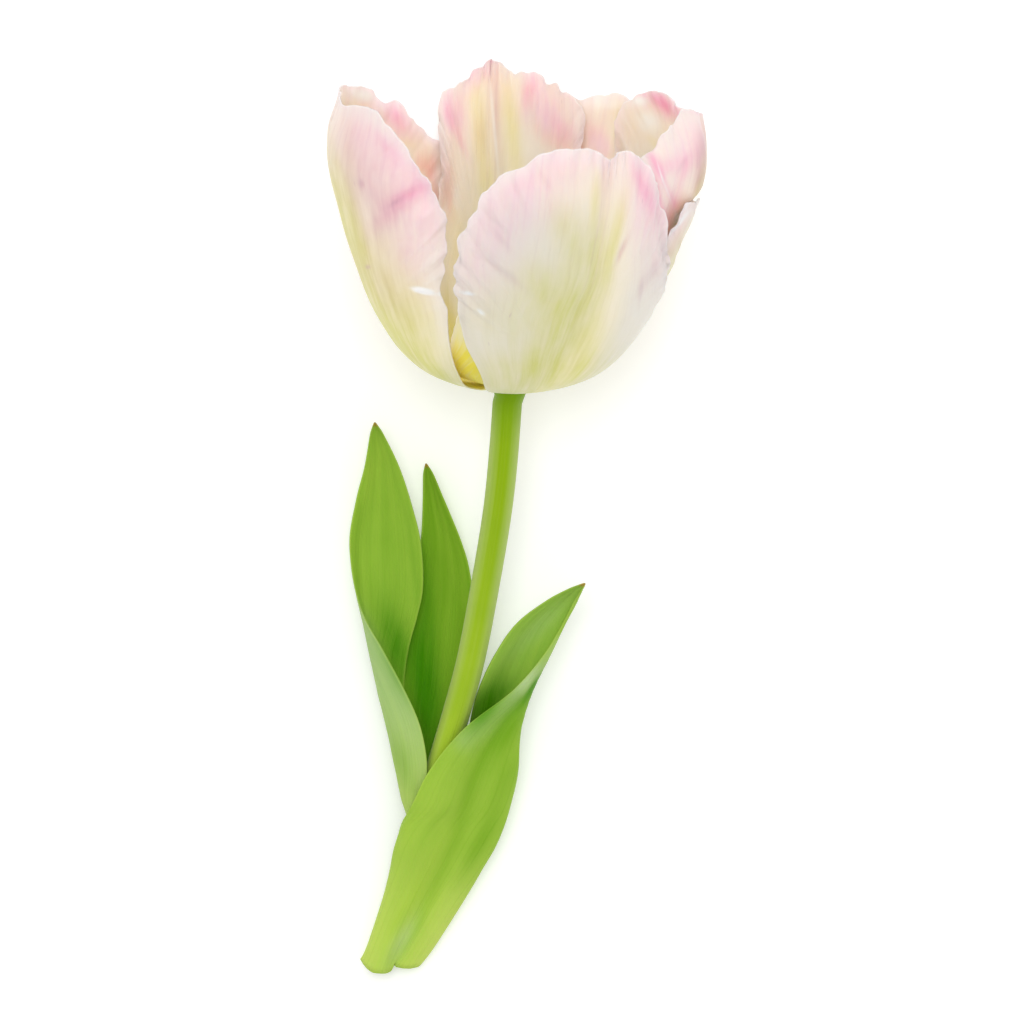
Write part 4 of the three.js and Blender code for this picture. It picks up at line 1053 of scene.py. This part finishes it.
# Coloured marks of each layer, outside (out) and inside (in): x and y in plan, half length,
# half width, angle, strength.
MARKS = dict(
    petal_outer_front=dict(
        lime_out=[
            (582, 275, 75, 34, -84, 0.42), (530, 325, 80, 46, 20, 0.36), (540, 372, 70, 20, 0, 0.24),
            (542, 286, 28, 18, 60, 0.34), (560, 220, 40, 14, 70, 0.28), (619, 225, 45, 7, -76, 0.44),
            (596, 190, 34, 5, -86, 0.39),
        ],
        blush_out=[
            (530, 195, 50, 30, -38, 0.8), (487, 250, 45, 28, -70, 0.56), (575, 160, 40, 12, 0, 0.56),
            (645, 215, 60, 20, 80, 0.64),
        ],
        rose_out=[
            (650, 195, 36, 9, 76, 0.56), (638, 178, 22, 5, 70, 0.31), (520, 182, 24, 9, -40, 0.19),
        ],
        mauve_out=[
            (622, 250, 13, 2.4, -68, 0.55), (500, 238, 16, 4, 50, 0.2), (508, 276, 18, 4, 40, 0.23),
            (652, 272, 18, 5, -66, 0.25), (606, 188, 40, 6, -84, 0.25), (572, 176, 34, 14, 0, 0.12),
            (640, 290, 14, 3, -80, 0.25), (545, 180, 12, 3, 60, 0.15),
        ],
        # Painted highlights on two lobes of the left margin that turn out to the light.
        white_out=[(466, 293, 10, 2.2, 10, 0.81), (481, 312, 6, 2, 38, 0.72)],
        blush_in=[(540, 170, 60, 20, 0, 0.64)],
    ),
    petal_outer_left=dict(
        # Along the left silhouette, lime is partly the petal's green tone and partly painted shade
        # where the petal turns away.
        lime_out=[
            (350, 224, 60, 10, 76, 0.95), (384, 300, 60, 22, 58, 0.4), (425, 350, 60, 30, 35, 0.39),
            (338, 175, 30, 5, 82, 0.2), (396, 272, 60, 23, 62, 0.4), (350, 150, 50, 8, 84, 0.25),
        ],
        white_in=[(436, 176, 20, 9, 80, 0.3), (362, 95, 16, 8, 10, 0.45)],
        blush_out=[
            (405, 175, 55, 26, 50, 0.72), (418, 235, 42, 26, -80, 0.64), (365, 140, 30, 20, 50, 0.32),
        ],
        rose_out=[
            (411, 193, 22, 8, -26, 0.68), (392, 212, 20, 9, -40, 0.43), (386, 145, 20, 7, 50, 0.31),
            (412, 172, 16, 8, 50, 0.31), (376, 195, 40, 9, 60, 0.15),
        ],
        # The broadest mauve mark, over the middle of the outside, and the one low on it are painted
        # shade; the rest are streaks and dots.
        mauve_out=[
            (396, 202, 9, 2.5, -30, 0.3), (388, 214, 24, 11, -50, 0.2), (366, 180, 90, 34, 66, 0.4),
            (362, 184, 5, 3, 80, 0.25), (378, 286, 50, 16, 50, 0.14), (412, 194, 22, 14, -40, 0.12),
            (368, 267, 2.5, 2, 0, 0.4),
        ],
        # Painted highlights on a turned tooth of the front margin and its tip.
        white_out=[(424, 291, 13, 3.4, 12, 1.1), (441, 293, 3, 3, 0, 0.63)],
        # Painted shade: the warm tint of the shaded inside of the cup.
        salmon_in=[(427, 167, 15, 13, 60, 0.85), (436, 200, 22, 8, 80, 0.52)],
        rose_in=[(397, 116, 14, 8, 60, 0.56)],
        blush_in=[(395, 115, 40, 22, 40, 0.88)],
        gold_in=[(408, 142, 8, 6, 20, 0.2)],
    ),
    petal_outer_back=dict(
        lime_out=[(674, 260, 44, 13, -70, 0.62)],
        blush_out=[(680, 222, 18, 6, -60, 0.4)],
        lime_in=[(628, 135, 40, 9, 78, 0.5)],
        gold_in=[(640, 145, 14, 8, 60, 0.25)],
        # Painted shade: the warm tint of the shaded inside of the cup.
        salmon_in=[(574, 150, 16, 8, 30, 0.78), (596, 138, 16, 9, 60, 0.5)],
        blush_in=[(600, 150, 30, 16, 60, 0.4), (602, 142, 20, 10, 60, 0.4)],
        # The second white mark is painted light, lifting the shade in the recess between the right and
        # back petals.
        white_in=[(610, 105, 24, 8, 0, 0.27), (682, 214, 22, 9, -52, 0.5)],
        white_out=[(686, 206, 8, 3, -60, 0.54), (680, 222, 20, 3, -50, 0.6)],
        mauve_out=[(674, 246, 24, 8, -64, 0.14)],
        # Painted shade in the recess between the right and back petals.
        salmon_out=[(676, 238, 24, 8, -64, 0.3)],
        mauve_in=[(612, 116, 26, 16, 0, 0.14)],
    ),
    petal_inner_right=dict(
        rose_out=[
            (674, 164, 16, 9, -30, 0.42), (656, 196, 34, 5, 78, 0.4), (666, 186, 26, 3.4, 66, 0.4),
            (684, 172, 26, 6, -60, 0.3), (652, 158, 14, 6, 60, 0.43), (660, 212, 34, 6, 82, 0.5),
            (673, 203, 24, 7, -66, 0.3), (700, 112, 12, 4, 10, 0.37),
        ],
        # The last white mark is painted light in the same shaded recess.
        white_out=[
            (667, 190, 24, 1.4, 70, 0.4), (660, 172, 18, 1.2, 74, 0.3), (682, 216, 16, 8, -50, 0.55),
        ],
        blush_out=[(684, 150, 34, 20, -60, 0.8)],
        # Lime near the right silhouette is partly the petal's tone and partly painted shade where it
        # turns away.
        lime_out=[
            (707, 165, 45, 6, -82, 0.8), (694, 215, 30, 7, -72, 0.3), (699, 190, 24, 3.5, -78, 0.8),
        ],
        # The broad mauve mark at the right silhouette is painted shade; the small one is a streak.
        mauve_out=[(704, 160, 50, 10, -82, 0.68), (682, 165, 10, 2.5, -60, 0.2)],
        # Painted shade in the recess between the right and back petals.
        salmon_out=[(676, 214, 20, 9, -60, 0.4)],
        rose_in=[(668, 104, 20, 7, 38, 0.74), (652, 95, 12, 6, 20, 0.5)],
        blush_in=[(660, 105, 30, 14, 30, 0.64)],
        gold_in=[(656, 143, 8, 4, 50, 0.15)],
        white_in=[(650, 121, 18, 15, 40, 0.55), (640, 100, 10, 6, 0, 0.45)],
    ),
    petal_inner_back=dict(
        gold_in=[(480, 140, 62, 7, 84, 0.24), (513, 150, 60, 8, 86, 0.26), (456, 240, 80, 9, 84, 0.1)],
        lime_in=[(480, 120, 60, 9, 86, 0.28), (511, 118, 50, 9, 82, 0.28)],
        rose_in=[
            (562, 128, 20, 10, 40, 0.4), (530, 88, 22, 6, 100, 0.68), (447, 112, 16, 4, 85, 0.5),
            (459, 140, 22, 4, 66, 0.37), (474, 72, 10, 3, -50, 0.43), (491, 60, 6, 3, 0, 0.37),
        ],
        white_in=[
            (494, 130, 75, 2.4, 85, 0.41), (455, 300, 40, 9, 84, 0.34), (456, 198, 26, 7, 84, 0.32),
        ],
        blush_in=[
            (545, 110, 34, 18, 70, 0.8), (452, 110, 26, 12, 70, 0.8), (478, 76, 18, 8, -50, 0.64),
        ],
        # Painted shade: the warm tint of the cup's shaded inside beside this petal's margins.
        salmon_in=[(556, 138, 26, 12, 40, 0.59), (446, 190, 26, 7, 85, 0.52)],
        mauve_in=[(452, 116, 34, 10, 80, 0.3), (482, 134, 30, 8, 84, 0.2), (495, 120, 60, 6, 86, 0.28)],
    ),
    petal_inner_front=dict(
        gold_out=[(462, 345, 60, 26, 60, 0.55), (472, 378, 24, 12, 60, 0.85)],
    ),
)


def petal_marks(petal, back, v):
    """Where each side of a petal is blushed, flamed or gold, or tinted with painted warm shade, from 0
    to over 1.
    """
    s, u, edge = v["length_mm"], v["u_mm"], v["edge_mm"]
    fields = laid(MARKS[petal["name"]], plan(back), LAYERS)
    outer, inner, top, foot, *fade = petal["flame"]
    broad = top + (foot - top) * (1 - smooth(s, 10, 72))
    flame = bell(u / broad) * (1 - smooth(s, *fade)) * smooth(s, 2, 14)
    flame = np.stack([outer * flame, inner * flame])
    patchy = np.clip(0.5 + 0.5 * wobble((u - 0.6 * s) / 16, petal["seed"]), 0, 1)
    fields["lime"] += flame + 0.35 * (1 - smooth(s, 12, 45))
    fields["blush"] += 0.45 * np.exp(-edge / 5) * smooth(s, 45, 70)
    fields["rose"][1] += 0.3 * patchy * np.exp(-edge / 5) * smooth(s, 50, 75)
    fields["gold"][1] += 0.8 * (1 - smooth(s, 8, 45))
    if petal["inner"]:
        fields["gold"][0] += 0.7 * (1 - smooth(s, 10, 40))
    return eased(fields)


petal_look = petal_material()
for petal in PETALS:
    back, front, values = petal_grid(petal)
    marks = petal_marks(petal, back, values)
    piece = blade("fine_" + petal["name"], back, front, values, marks)
    slot = "petal_inner" if petal["inner"] else "petal_outer"
    finish_piece(piece, petal_look, slot, petal["name"])

# ---- leaves' materials ----

# deep is painted shade: a darker green low on the left and middle leaves and inside and under the right
# leaf's fold. dark is partly the leaves' own mottling and partly painted shade along the right leaf's
# crease.
LEAF_LAYERS = dict(
    deep=linear(68, 138, 0), dark=linear(98, 154, 0), grey=linear(172, 198, 142),
    silver=linear(208, 222, 186), pale=linear(176, 208, 74),
)
# Where the right leaf is creased, with a band of painted shade along the crease, and where its fold
# shines, in plan.
CREASE = [
    (520, 702), (503, 728), (484, 754), (473, 779), (463, 815), (456, 839), (438, 878),
    (424, 906), (416, 931), (396, 955), (392, 967),
]
SHEEN_LINE = [(558, 642), (547, 657), (536, 669), (524, 685), (511, 701), (490, 720), (466, 738)]

# Marks on both faces of the leaves, laid out as on the petals.
LEAF_MARKS = dict(
    leaf_left=dict(
        deep=[(398, 650, 50, 16, 72, 0.9), (414, 560, 60, 4, 84, 0.25)],
        dark=[(404, 765, 40, 10, 70, 0.35), (392, 560, 60, 10, 86, 0.2)],
        pale=[(372, 470, 34, 8, -72, 0.3)],
        grey=[(366, 640, 34, 10, 70, 0.35)],
    ),
    leaf_middle=dict(
        deep=[(422, 680, 80, 16, 80, 1.25), (428, 600, 60, 8, 84, 0.5)],
        pale=[(446, 545, 60, 8, 74, 0.15)],
        dark=[(432, 520, 50, 6, 80, 0.25)],
    ),
    leaf_right=dict(
        deep=[
            (486, 704, 30, 12, -58, 1.1), (506, 690, 20, 4, -46, 0.25), (531, 688, 18, 3.4, -58, 1.1),
        ],
        grey=[(540, 625, 44, 10, -44, 0.25)],
        pale=[(406, 925, 80, 26, -66, 1.1), (525, 690, 12, 8, -50, 0.6)],
        silver=[(402, 940, 26, 8, -60, 0.3)],
        # These dark marks follow the crease: painted shade.
        dark=[
            (505, 740, 40, 12, -70, 0.35), (504, 782, 40, 10, -62, 0.35), (480, 842, 40, 9, -60, 0.5),
        ],
    ),
)


def leaf_marks(name, middle):
    """The strength of each layer on both faces. On the right leaf, a band of painted shade runs along
    its crease, stronger on the inner face, and its fold shines outside."""
    place = plan(middle)
    fields = laid(LEAF_MARKS[name], place, LEAF_LAYERS)
    if name == "leaf_right":
        # Painted shade along the crease, where the fold closes in: a dark band on the outer face, added
        # again to the inner face.
        far, share = off_line(place, CREASE)
        fields["dark"][0] += (0.6 - 0.48 * share) * bell(far / (12 - 6 * share))
        fields["dark"][1] += fields["dark"][0]
        far, share = off_line(place, SHEEN_LINE)
        fields["grey"][0] += 0.35 * bell(far / 13) * smooth(share, 0.05, 0.4)
        lit = (0.35 + 0.65 * smooth(share, 0.2, 0.5)) * (1 - smooth(share, 0.5, 0.85))
        fields["silver"][0] += 0.5 * bell(far / 6) * lit
    return eased(fields)


def leaf_material(name, faces, base):
    """faces: the colours of a leaf's two faces. base: the colour at its foot."""
    g = Graph(name)
    share, run = g.attribute("share"), g.attribute("run_mm")
    edge, tip, inside = g.attribute("edge_mm"), g.attribute("tip_mm"), g.attribute("inside")
    lines = g.noise(g.vector(g.times(share, 60.0), g.times(run, 0.012), inside), 1.0, 3.0, 0.6)
    broad = g.vector(g.times(share, 8.0), g.times(run, 0.02), g.add(inside, 3.0))
    broad = g.noise(broad, 1.0, 3.0)
    cloud = g.cloud(45.0, 4.0)
    pale, dark = LEAF_LAYERS["pale"], LEAF_LAYERS["dark"]
    colour = g.mix(inside, *faces)
    colour = g.mix(g.times(g.ramp(broad, 0.4, 0.75), 0.2), colour, pale)
    colour = g.mix(g.times(g.ramp(broad, 0.55, 0.25), 0.16), colour, dark)
    colour = g.mix(g.times(g.ramp(run, 42.0, 0.0), 0.8), colour, base)
    uneven = g.add(g.add(g.times(broad, 1.2), g.times(lines, 0.5)), 0.15)
    for layer in ("pale", "grey", "silver", "dark", "deep"):
        colour = g.mix(g.times(g.attribute(layer), uneven, True), colour, LEAF_LAYERS[layer])
    colour = g.mix(g.times(g.ramp(lines, 0.5, 0.72), 0.14), colour, dark)
    colour = g.mix(g.times(g.ramp(cloud, 0.35, 0.7), 0.12), colour, dark)
    colour = g.mix(g.times(g.ramp(edge, 0.6, 0.1), 0.3), colour, linear(184, 212, 92))
    colour = g.mix(g.times(g.ramp(tip, 1.6, 0.3), 0.8), colour, linear(186, 140, 70))
    return g.surface(
        colour, g.ramp(lines, 0.3, 0.7, 0.4, 0.54), g.add(lines, g.times(broad, 0.4)), 0.0002,
        Subsurface_Weight=0.1, Subsurface_Radius=(0.5, 0.9, 0.2), Subsurface_Scale=0.001,
        Specular_IOR_Level=0.04,
    )


# Each leaf's sections, rows and columns, seed, colours of its two faces and of its foot.
LEAVES = [
    ("leaf_left", LEAF_LEFT, 150, 50, 61,
     [linear(150, 190, 62), linear(176, 204, 130)], linear(180, 206, 90)),
    ("leaf_middle", LEAF_MIDDLE, 120, 40, 67,
     [linear(128, 174, 40), linear(131, 180, 0)], linear(84, 144, 0)),
    ("leaf_right", LEAF_RIGHT, 170, 100, 71,
     [linear(158, 194, 68), linear(152, 192, 72)], linear(209, 222, 118)),
]
for name, sections, rows, columns, seed, faces, base in LEAVES:
    piece = leaf_piece(name, sections, rows, columns, seed)
    finish_piece(piece, leaf_material(name, faces, base), "leaf", name)

# ---- stem ----

STEM_RINGS = 160
STEM_SIDES = 44
STEM_SET_BACK = 0.7
STEM_RIPPLE = 0.005
CUT_ROUNDING = 1.6


def ring_around(centre, direction, radius, sides, ripple=0.0):
    """A ring of points square to a direction, slightly uneven where ripple is over 0."""
    side = unit(-np.cross([0, 0, 1], direction))
    up = unit(np.cross(side, direction))
    angle = -2 * math.pi * np.arange(sides) / sides
    radius = radius * (1 + ripple * np.cos(9 * angle) + 0.7 * ripple * np.cos(5 * angle + 1))
    across = side * (radius * np.sin(angle))[:, None]
    return centre + up * (radius * np.cos(angle))[:, None] + across


def stem_piece():
    """The stem, rounded at its cut end, and the receptacle at its top."""
    ys = np.linspace(STEM[0][1] + STEM_SET_BACK, STEM[-1][1], STEM_RINGS + 1)
    centres = np.stack([stem_x(ys), ys, stem_z(ys)], -1)
    rounding = (1 - np.clip((ys - ys[0]) / CUT_ROUNDING, 0, 1)) ** 2
    radii = stem_radius(ys) * np.sqrt(1 - 0.3 * rounding)
    directions = unit(np.gradient(centres, axis=0))
    rings = [
        ring_around(centre, direction, radius, STEM_SIDES, STEM_RIPPLE)
        for centre, direction, radius in zip(centres, directions, radii)
    ]
    for height, radius in RECEPTACLE:
        rings.append(ring_around(in_bloom(0, 0, height), bloom_axis, radius, STEM_SIDES))
    run = np.concatenate([ys - ys[0], ys[-1] - ys[0] + 2 + np.arange(len(RECEPTACLE))])
    turn = 2 * math.pi * (np.arange(STEM_SIDES) / STEM_SIDES)
    values = dict(
        run_mm=np.repeat(run, STEM_SIDES), round_x=np.tile(np.cos(turn), len(run)),
        round_y=np.tile(np.sin(turn), len(run)),
    )
    return tube("fine_stem", np.array(rings), values)


def stem_material():
    g = Graph("stem")
    run, x, y = g.attribute("run_mm"), g.attribute("round_x"), g.attribute("round_y")
    lines = g.noise(g.vector(g.times(x, 6.0), g.times(y, 6.0), g.times(run, 0.02)), 1.0, 4.0, 0.6)
    cloud = g.cloud(60.0, 3.0)
    colour = g.mix(g.ramp(run, 20.0, 150.0), linear(168, 198, 52), linear(140, 176, 6))
    colour = g.mix(g.times(g.ramp(lines, 0.45, 0.72), 0.25), colour, linear(176, 198, 84))
    colour = g.mix(g.times(g.ramp(cloud, 0.4, 0.7), 0.2), colour, linear(124, 164, 16))
    # Painted sheen: the stem's sides are paler, as where it reflects the white surroundings at a
    # grazing angle, more so further from the cut end.
    sides = g.ramp(g.math("ABSOLUTE", y), 0.2, 1.0)
    sides = g.times(sides, g.ramp(run, 50.0, 100.0, 0.22, 0.52))
    colour = g.mix(sides, colour, linear(192, 208, 134))
    colour = g.mix(g.times(g.ramp(run, 136.0, 154.0), 0.85), colour, linear(116, 158, 6))
    colour = g.mix(g.times(g.ramp(run, 1.2, 0.0), 0.7), colour, linear(206, 205, 130))
    return g.surface(
        colour, g.ramp(lines, 0.3, 0.7, 0.4, 0.52), lines, 0.00015,
        Subsurface_Weight=0.1, Subsurface_Radius=(0.6, 0.9, 0.2), Subsurface_Scale=0.0015,
        Specular_IOR_Level=0.08, Sheen_Weight=0.22, Sheen_Roughness=0.35,
    )


finish_piece(stem_piece(), stem_material(), "stem", "stem")

# ---- pistil and stamens ----

BOSS_TOP = 2.1
PISTIL_RINGS = 90
PISTIL_SIDES = 54
PISTIL = [
    [BOSS_TOP + GAP, 2.4, 0], [4, 3, 0.06], [8, 3.7, 0.12], [13, 3.7, 0.14], [18, 3.1, 0.16],
    [21, 2.7, 0.2], [22.5, 3.4, 0.34], [24.2, 5, 0.45], [25.4, 5, 0.45], [26, 3.2, 0.3],
]
STAMENS = 6
FIRST_STAMEN = 24
STAMEN_BASE_RADIUS = 5.2
STAMEN_BASE_HEIGHT = 2.95
STAMEN_LEAN = 14
STAMEN_RINGS = 40
STAMEN_SIDES = 24
FILAMENT = [[0, 0.9], [6, 0.75], [12, 0.45]]
ANTHER = [[0, 0.6], [1.2, 1.35], [6, 1.45], [11, 1.2], [12.5, 0.5]]
ANTHER_FURROW = 0.3
SLIMMER = 0.98


def pistil_piece():
    """A three-sided ovary, with furrows between its sides, under a three-lobed stigma."""
    heights = np.linspace(PISTIL[0][0], PISTIL[-1][0], PISTIL_RINGS + 1)
    angle = -360 * np.arange(PISTIL_SIDES) / PISTIL_SIDES
    h, turn = np.meshgrid(heights, angle, indexing="ij")
    stigma = smooth(h, 21.5, 24)
    radius = curve_through(PISTIL, 1)(h)
    radius = radius * (1 + curve_through(PISTIL, 2)(h) * np.cos(3 * np.radians(turn)))
    radius = radius * (1 - 0.05 * bell(((turn % 120) - 60) / 9) * (1 - stigma))
    radius = radius * (1 + stigma * 0.05 * np.sin(np.radians(turn) * 21 + h * 5) - 0.01)
    values = dict(height_mm=h, turn=turn / 360)
    return tube("fine_pistil", in_bloom(turn, radius, h), values)


def pistil_material():
    g = Graph("pistil")
    height = g.attribute("height_mm")
    spots, cloud = g.cloud(900.0, 4.0), g.cloud(220.0, 3.0)
    colour = g.mix(g.ramp(height, 3.0, 20.0), linear(214, 214, 130), linear(196, 206, 112))
    colour = g.mix(g.times(g.ramp(cloud, 0.4, 0.7), 0.4), colour, linear(170, 188, 84))
    colour = g.mix(g.ramp(height, 21.5, 23.5), colour, linear(238, 226, 150))
    colour = g.mix(g.times(g.ramp(spots, 0.5, 0.7), 0.3), colour, linear(250, 240, 190))
    return g.surface(colour, g.ramp(spots, 0.3, 0.7, 0.42, 0.62), spots, 0.0002)


finish_piece(pistil_piece(), pistil_material(), "pistil", "pistil")


def stamen_piece(name, azimuth, start, profile, furrow, seed):
    """A round piece of a stamen, from start along it, with two furrows down its sides."""
    distances = np.linspace(profile[0][0], profile[-1][0], STAMEN_RINGS + 1)
    foot = in_bloom(azimuth, STAMEN_BASE_RADIUS, STAMEN_BASE_HEIGHT)
    leaning = math.radians(STAMEN_LEAN)
    outward = in_bloom(azimuth, 1, 0) - BLOOM_BASE
    direction = bloom_axis * math.cos(leaning) + outward * math.sin(leaning)
    turn = np.arange(STAMEN_SIDES) / STAMEN_SIDES
    squeeze = 1 - furrow * np.exp(-((np.cos(4 * math.pi * turn) - 1) ** 2) / 0.3)
    rings = [
        foot + direction * (start + distance)
        + ring_around(np.zeros(3), direction, radius, STAMEN_SIDES) * squeeze[:, None] * SLIMMER
        for distance, radius in zip(distances, curve_through(profile)(distances))
    ]
    values = dict(
        run_mm=np.repeat(distances, STAMEN_SIDES),
        turn=np.tile(turn, STAMEN_RINGS + 1) + seed,
    )
    return tube(name, np.array(rings), values)


def stamen_material(name, colours, scale, depth, roughness):
    g = Graph(name)
    grains, cloud = g.cloud(scale, 5.0, 0.7), g.cloud(scale * 0.15, 2.0)
    share = g.add(g.times(grains, 0.8), g.times(cloud, 0.5))
    colour = g.mix(g.ramp(share, 0.35, 0.9), *colours)
    roughness = g.ramp(grains, 0.3, 0.7, roughness, roughness + 0.12)
    return g.surface(colour, roughness, grains, depth)


filament_look = stamen_material(
    "filament", (linear(226, 218, 150), linear(244, 238, 190)), 500.0, 0.0001, 0.45)
anther_look = stamen_material(
    "anther", (linear(150, 118, 48), linear(206, 176, 86)), 1600.0, 0.0003, 0.78)
anther_start = FILAMENT[-1][0] + GAP
for i in range(STAMENS):
    for part, look, start, profile, furrow in (
        ("filament", filament_look, 0, FILAMENT, 0.0),
        ("anther", anther_look, anther_start, ANTHER, ANTHER_FURROW),
    ):
        node = f"{part}_{i + 1}"
        azimuth = FIRST_STAMEN + 360 * i / STAMENS
        piece = stamen_piece("fine_" + node, azimuth, start, profile, furrow, i)
        finish_piece(piece, look, part, node)

# ---- floor, light and camera ----

FLOOR_RADIUS = 6.0
SENSOR = 36.0


def lay_floor():
    mesh = bpy.data.meshes.new("floor")
    corners = [(x * FLOOR_RADIUS, y * FLOOR_RADIUS, 0) for x, y in ((-1, -1), (1, -1), (1, 1), (-1, 1))]
    mesh.from_pydata(corners, [], [[0, 1, 2, 3]])
    g = Graph("floor")
    white = g.mix(g.cloud(3.0, 3.0), (0.88, 0.88, 0.88, 1), (0.92, 0.92, 0.92, 1))
    g.put(g.shader.inputs["Base Color"], white)
    g.put(g.shader.inputs["Emission Color"], white)
    g.shader.inputs["Emission Strength"].default_value = 0.25
    g.shader.inputs["Roughness"].default_value = 0.9
    g.shader.inputs["Specular IOR Level"].default_value = 0.1
    mesh.materials.append(g.material)
    add_object("floor", mesh)


def area_light(name, place, target, size, power):
    lamp = bpy.data.lights.new(name, "AREA")
    lamp.shape = "DISK"
    lamp.size = size
    lamp.energy = power
    holder = add_object(name, lamp)
    holder.location = place
    holder.rotation_euler = (Vector(target) - Vector(place)).to_track_quat("-Z", "Y").to_euler()


lay_floor()
area_light("key", (-0.2, 0.2, 2.95), (0, -0.08, 0.03), 1.5, 27)
area_light("fill", (0.1, 2.2, 1.5), (0, -0.02, 0.05), 1.2, 10)
area_light("side", (1.6, 0.6, 1.6), (0, -0.08, 0.03), 1.2, 2)
world = bpy.data.worlds.new("studio")
bpy.context.scene.world = world
world.use_nodes = True
world.node_tree.nodes["Background"].inputs["Color"].default_value = (1, 1, 1, 1)
world.node_tree.nodes["Background"].inputs["Strength"].default_value = 0.69

camera = add_object("camera", bpy.data.cameras.new("camera"))
camera.data.sensor_width = SENSOR
camera.data.lens = SENSOR * (PLAN_HEIGHT - PLAN_SCALE_AT) / (2 * PLAN_CENTRE * PLAN_STEP)
camera.data.clip_end = 50
over_x, over_y = (PLAN_MIDDLE[k] * MM + SHIFT[k] * MM for k in (0, 1))
camera.location = (over_x, over_y, PLAN_HEIGHT * MM)
bpy.context.scene.camera = camera
bpy.context.scene.view_settings.view_transform = "Standard"
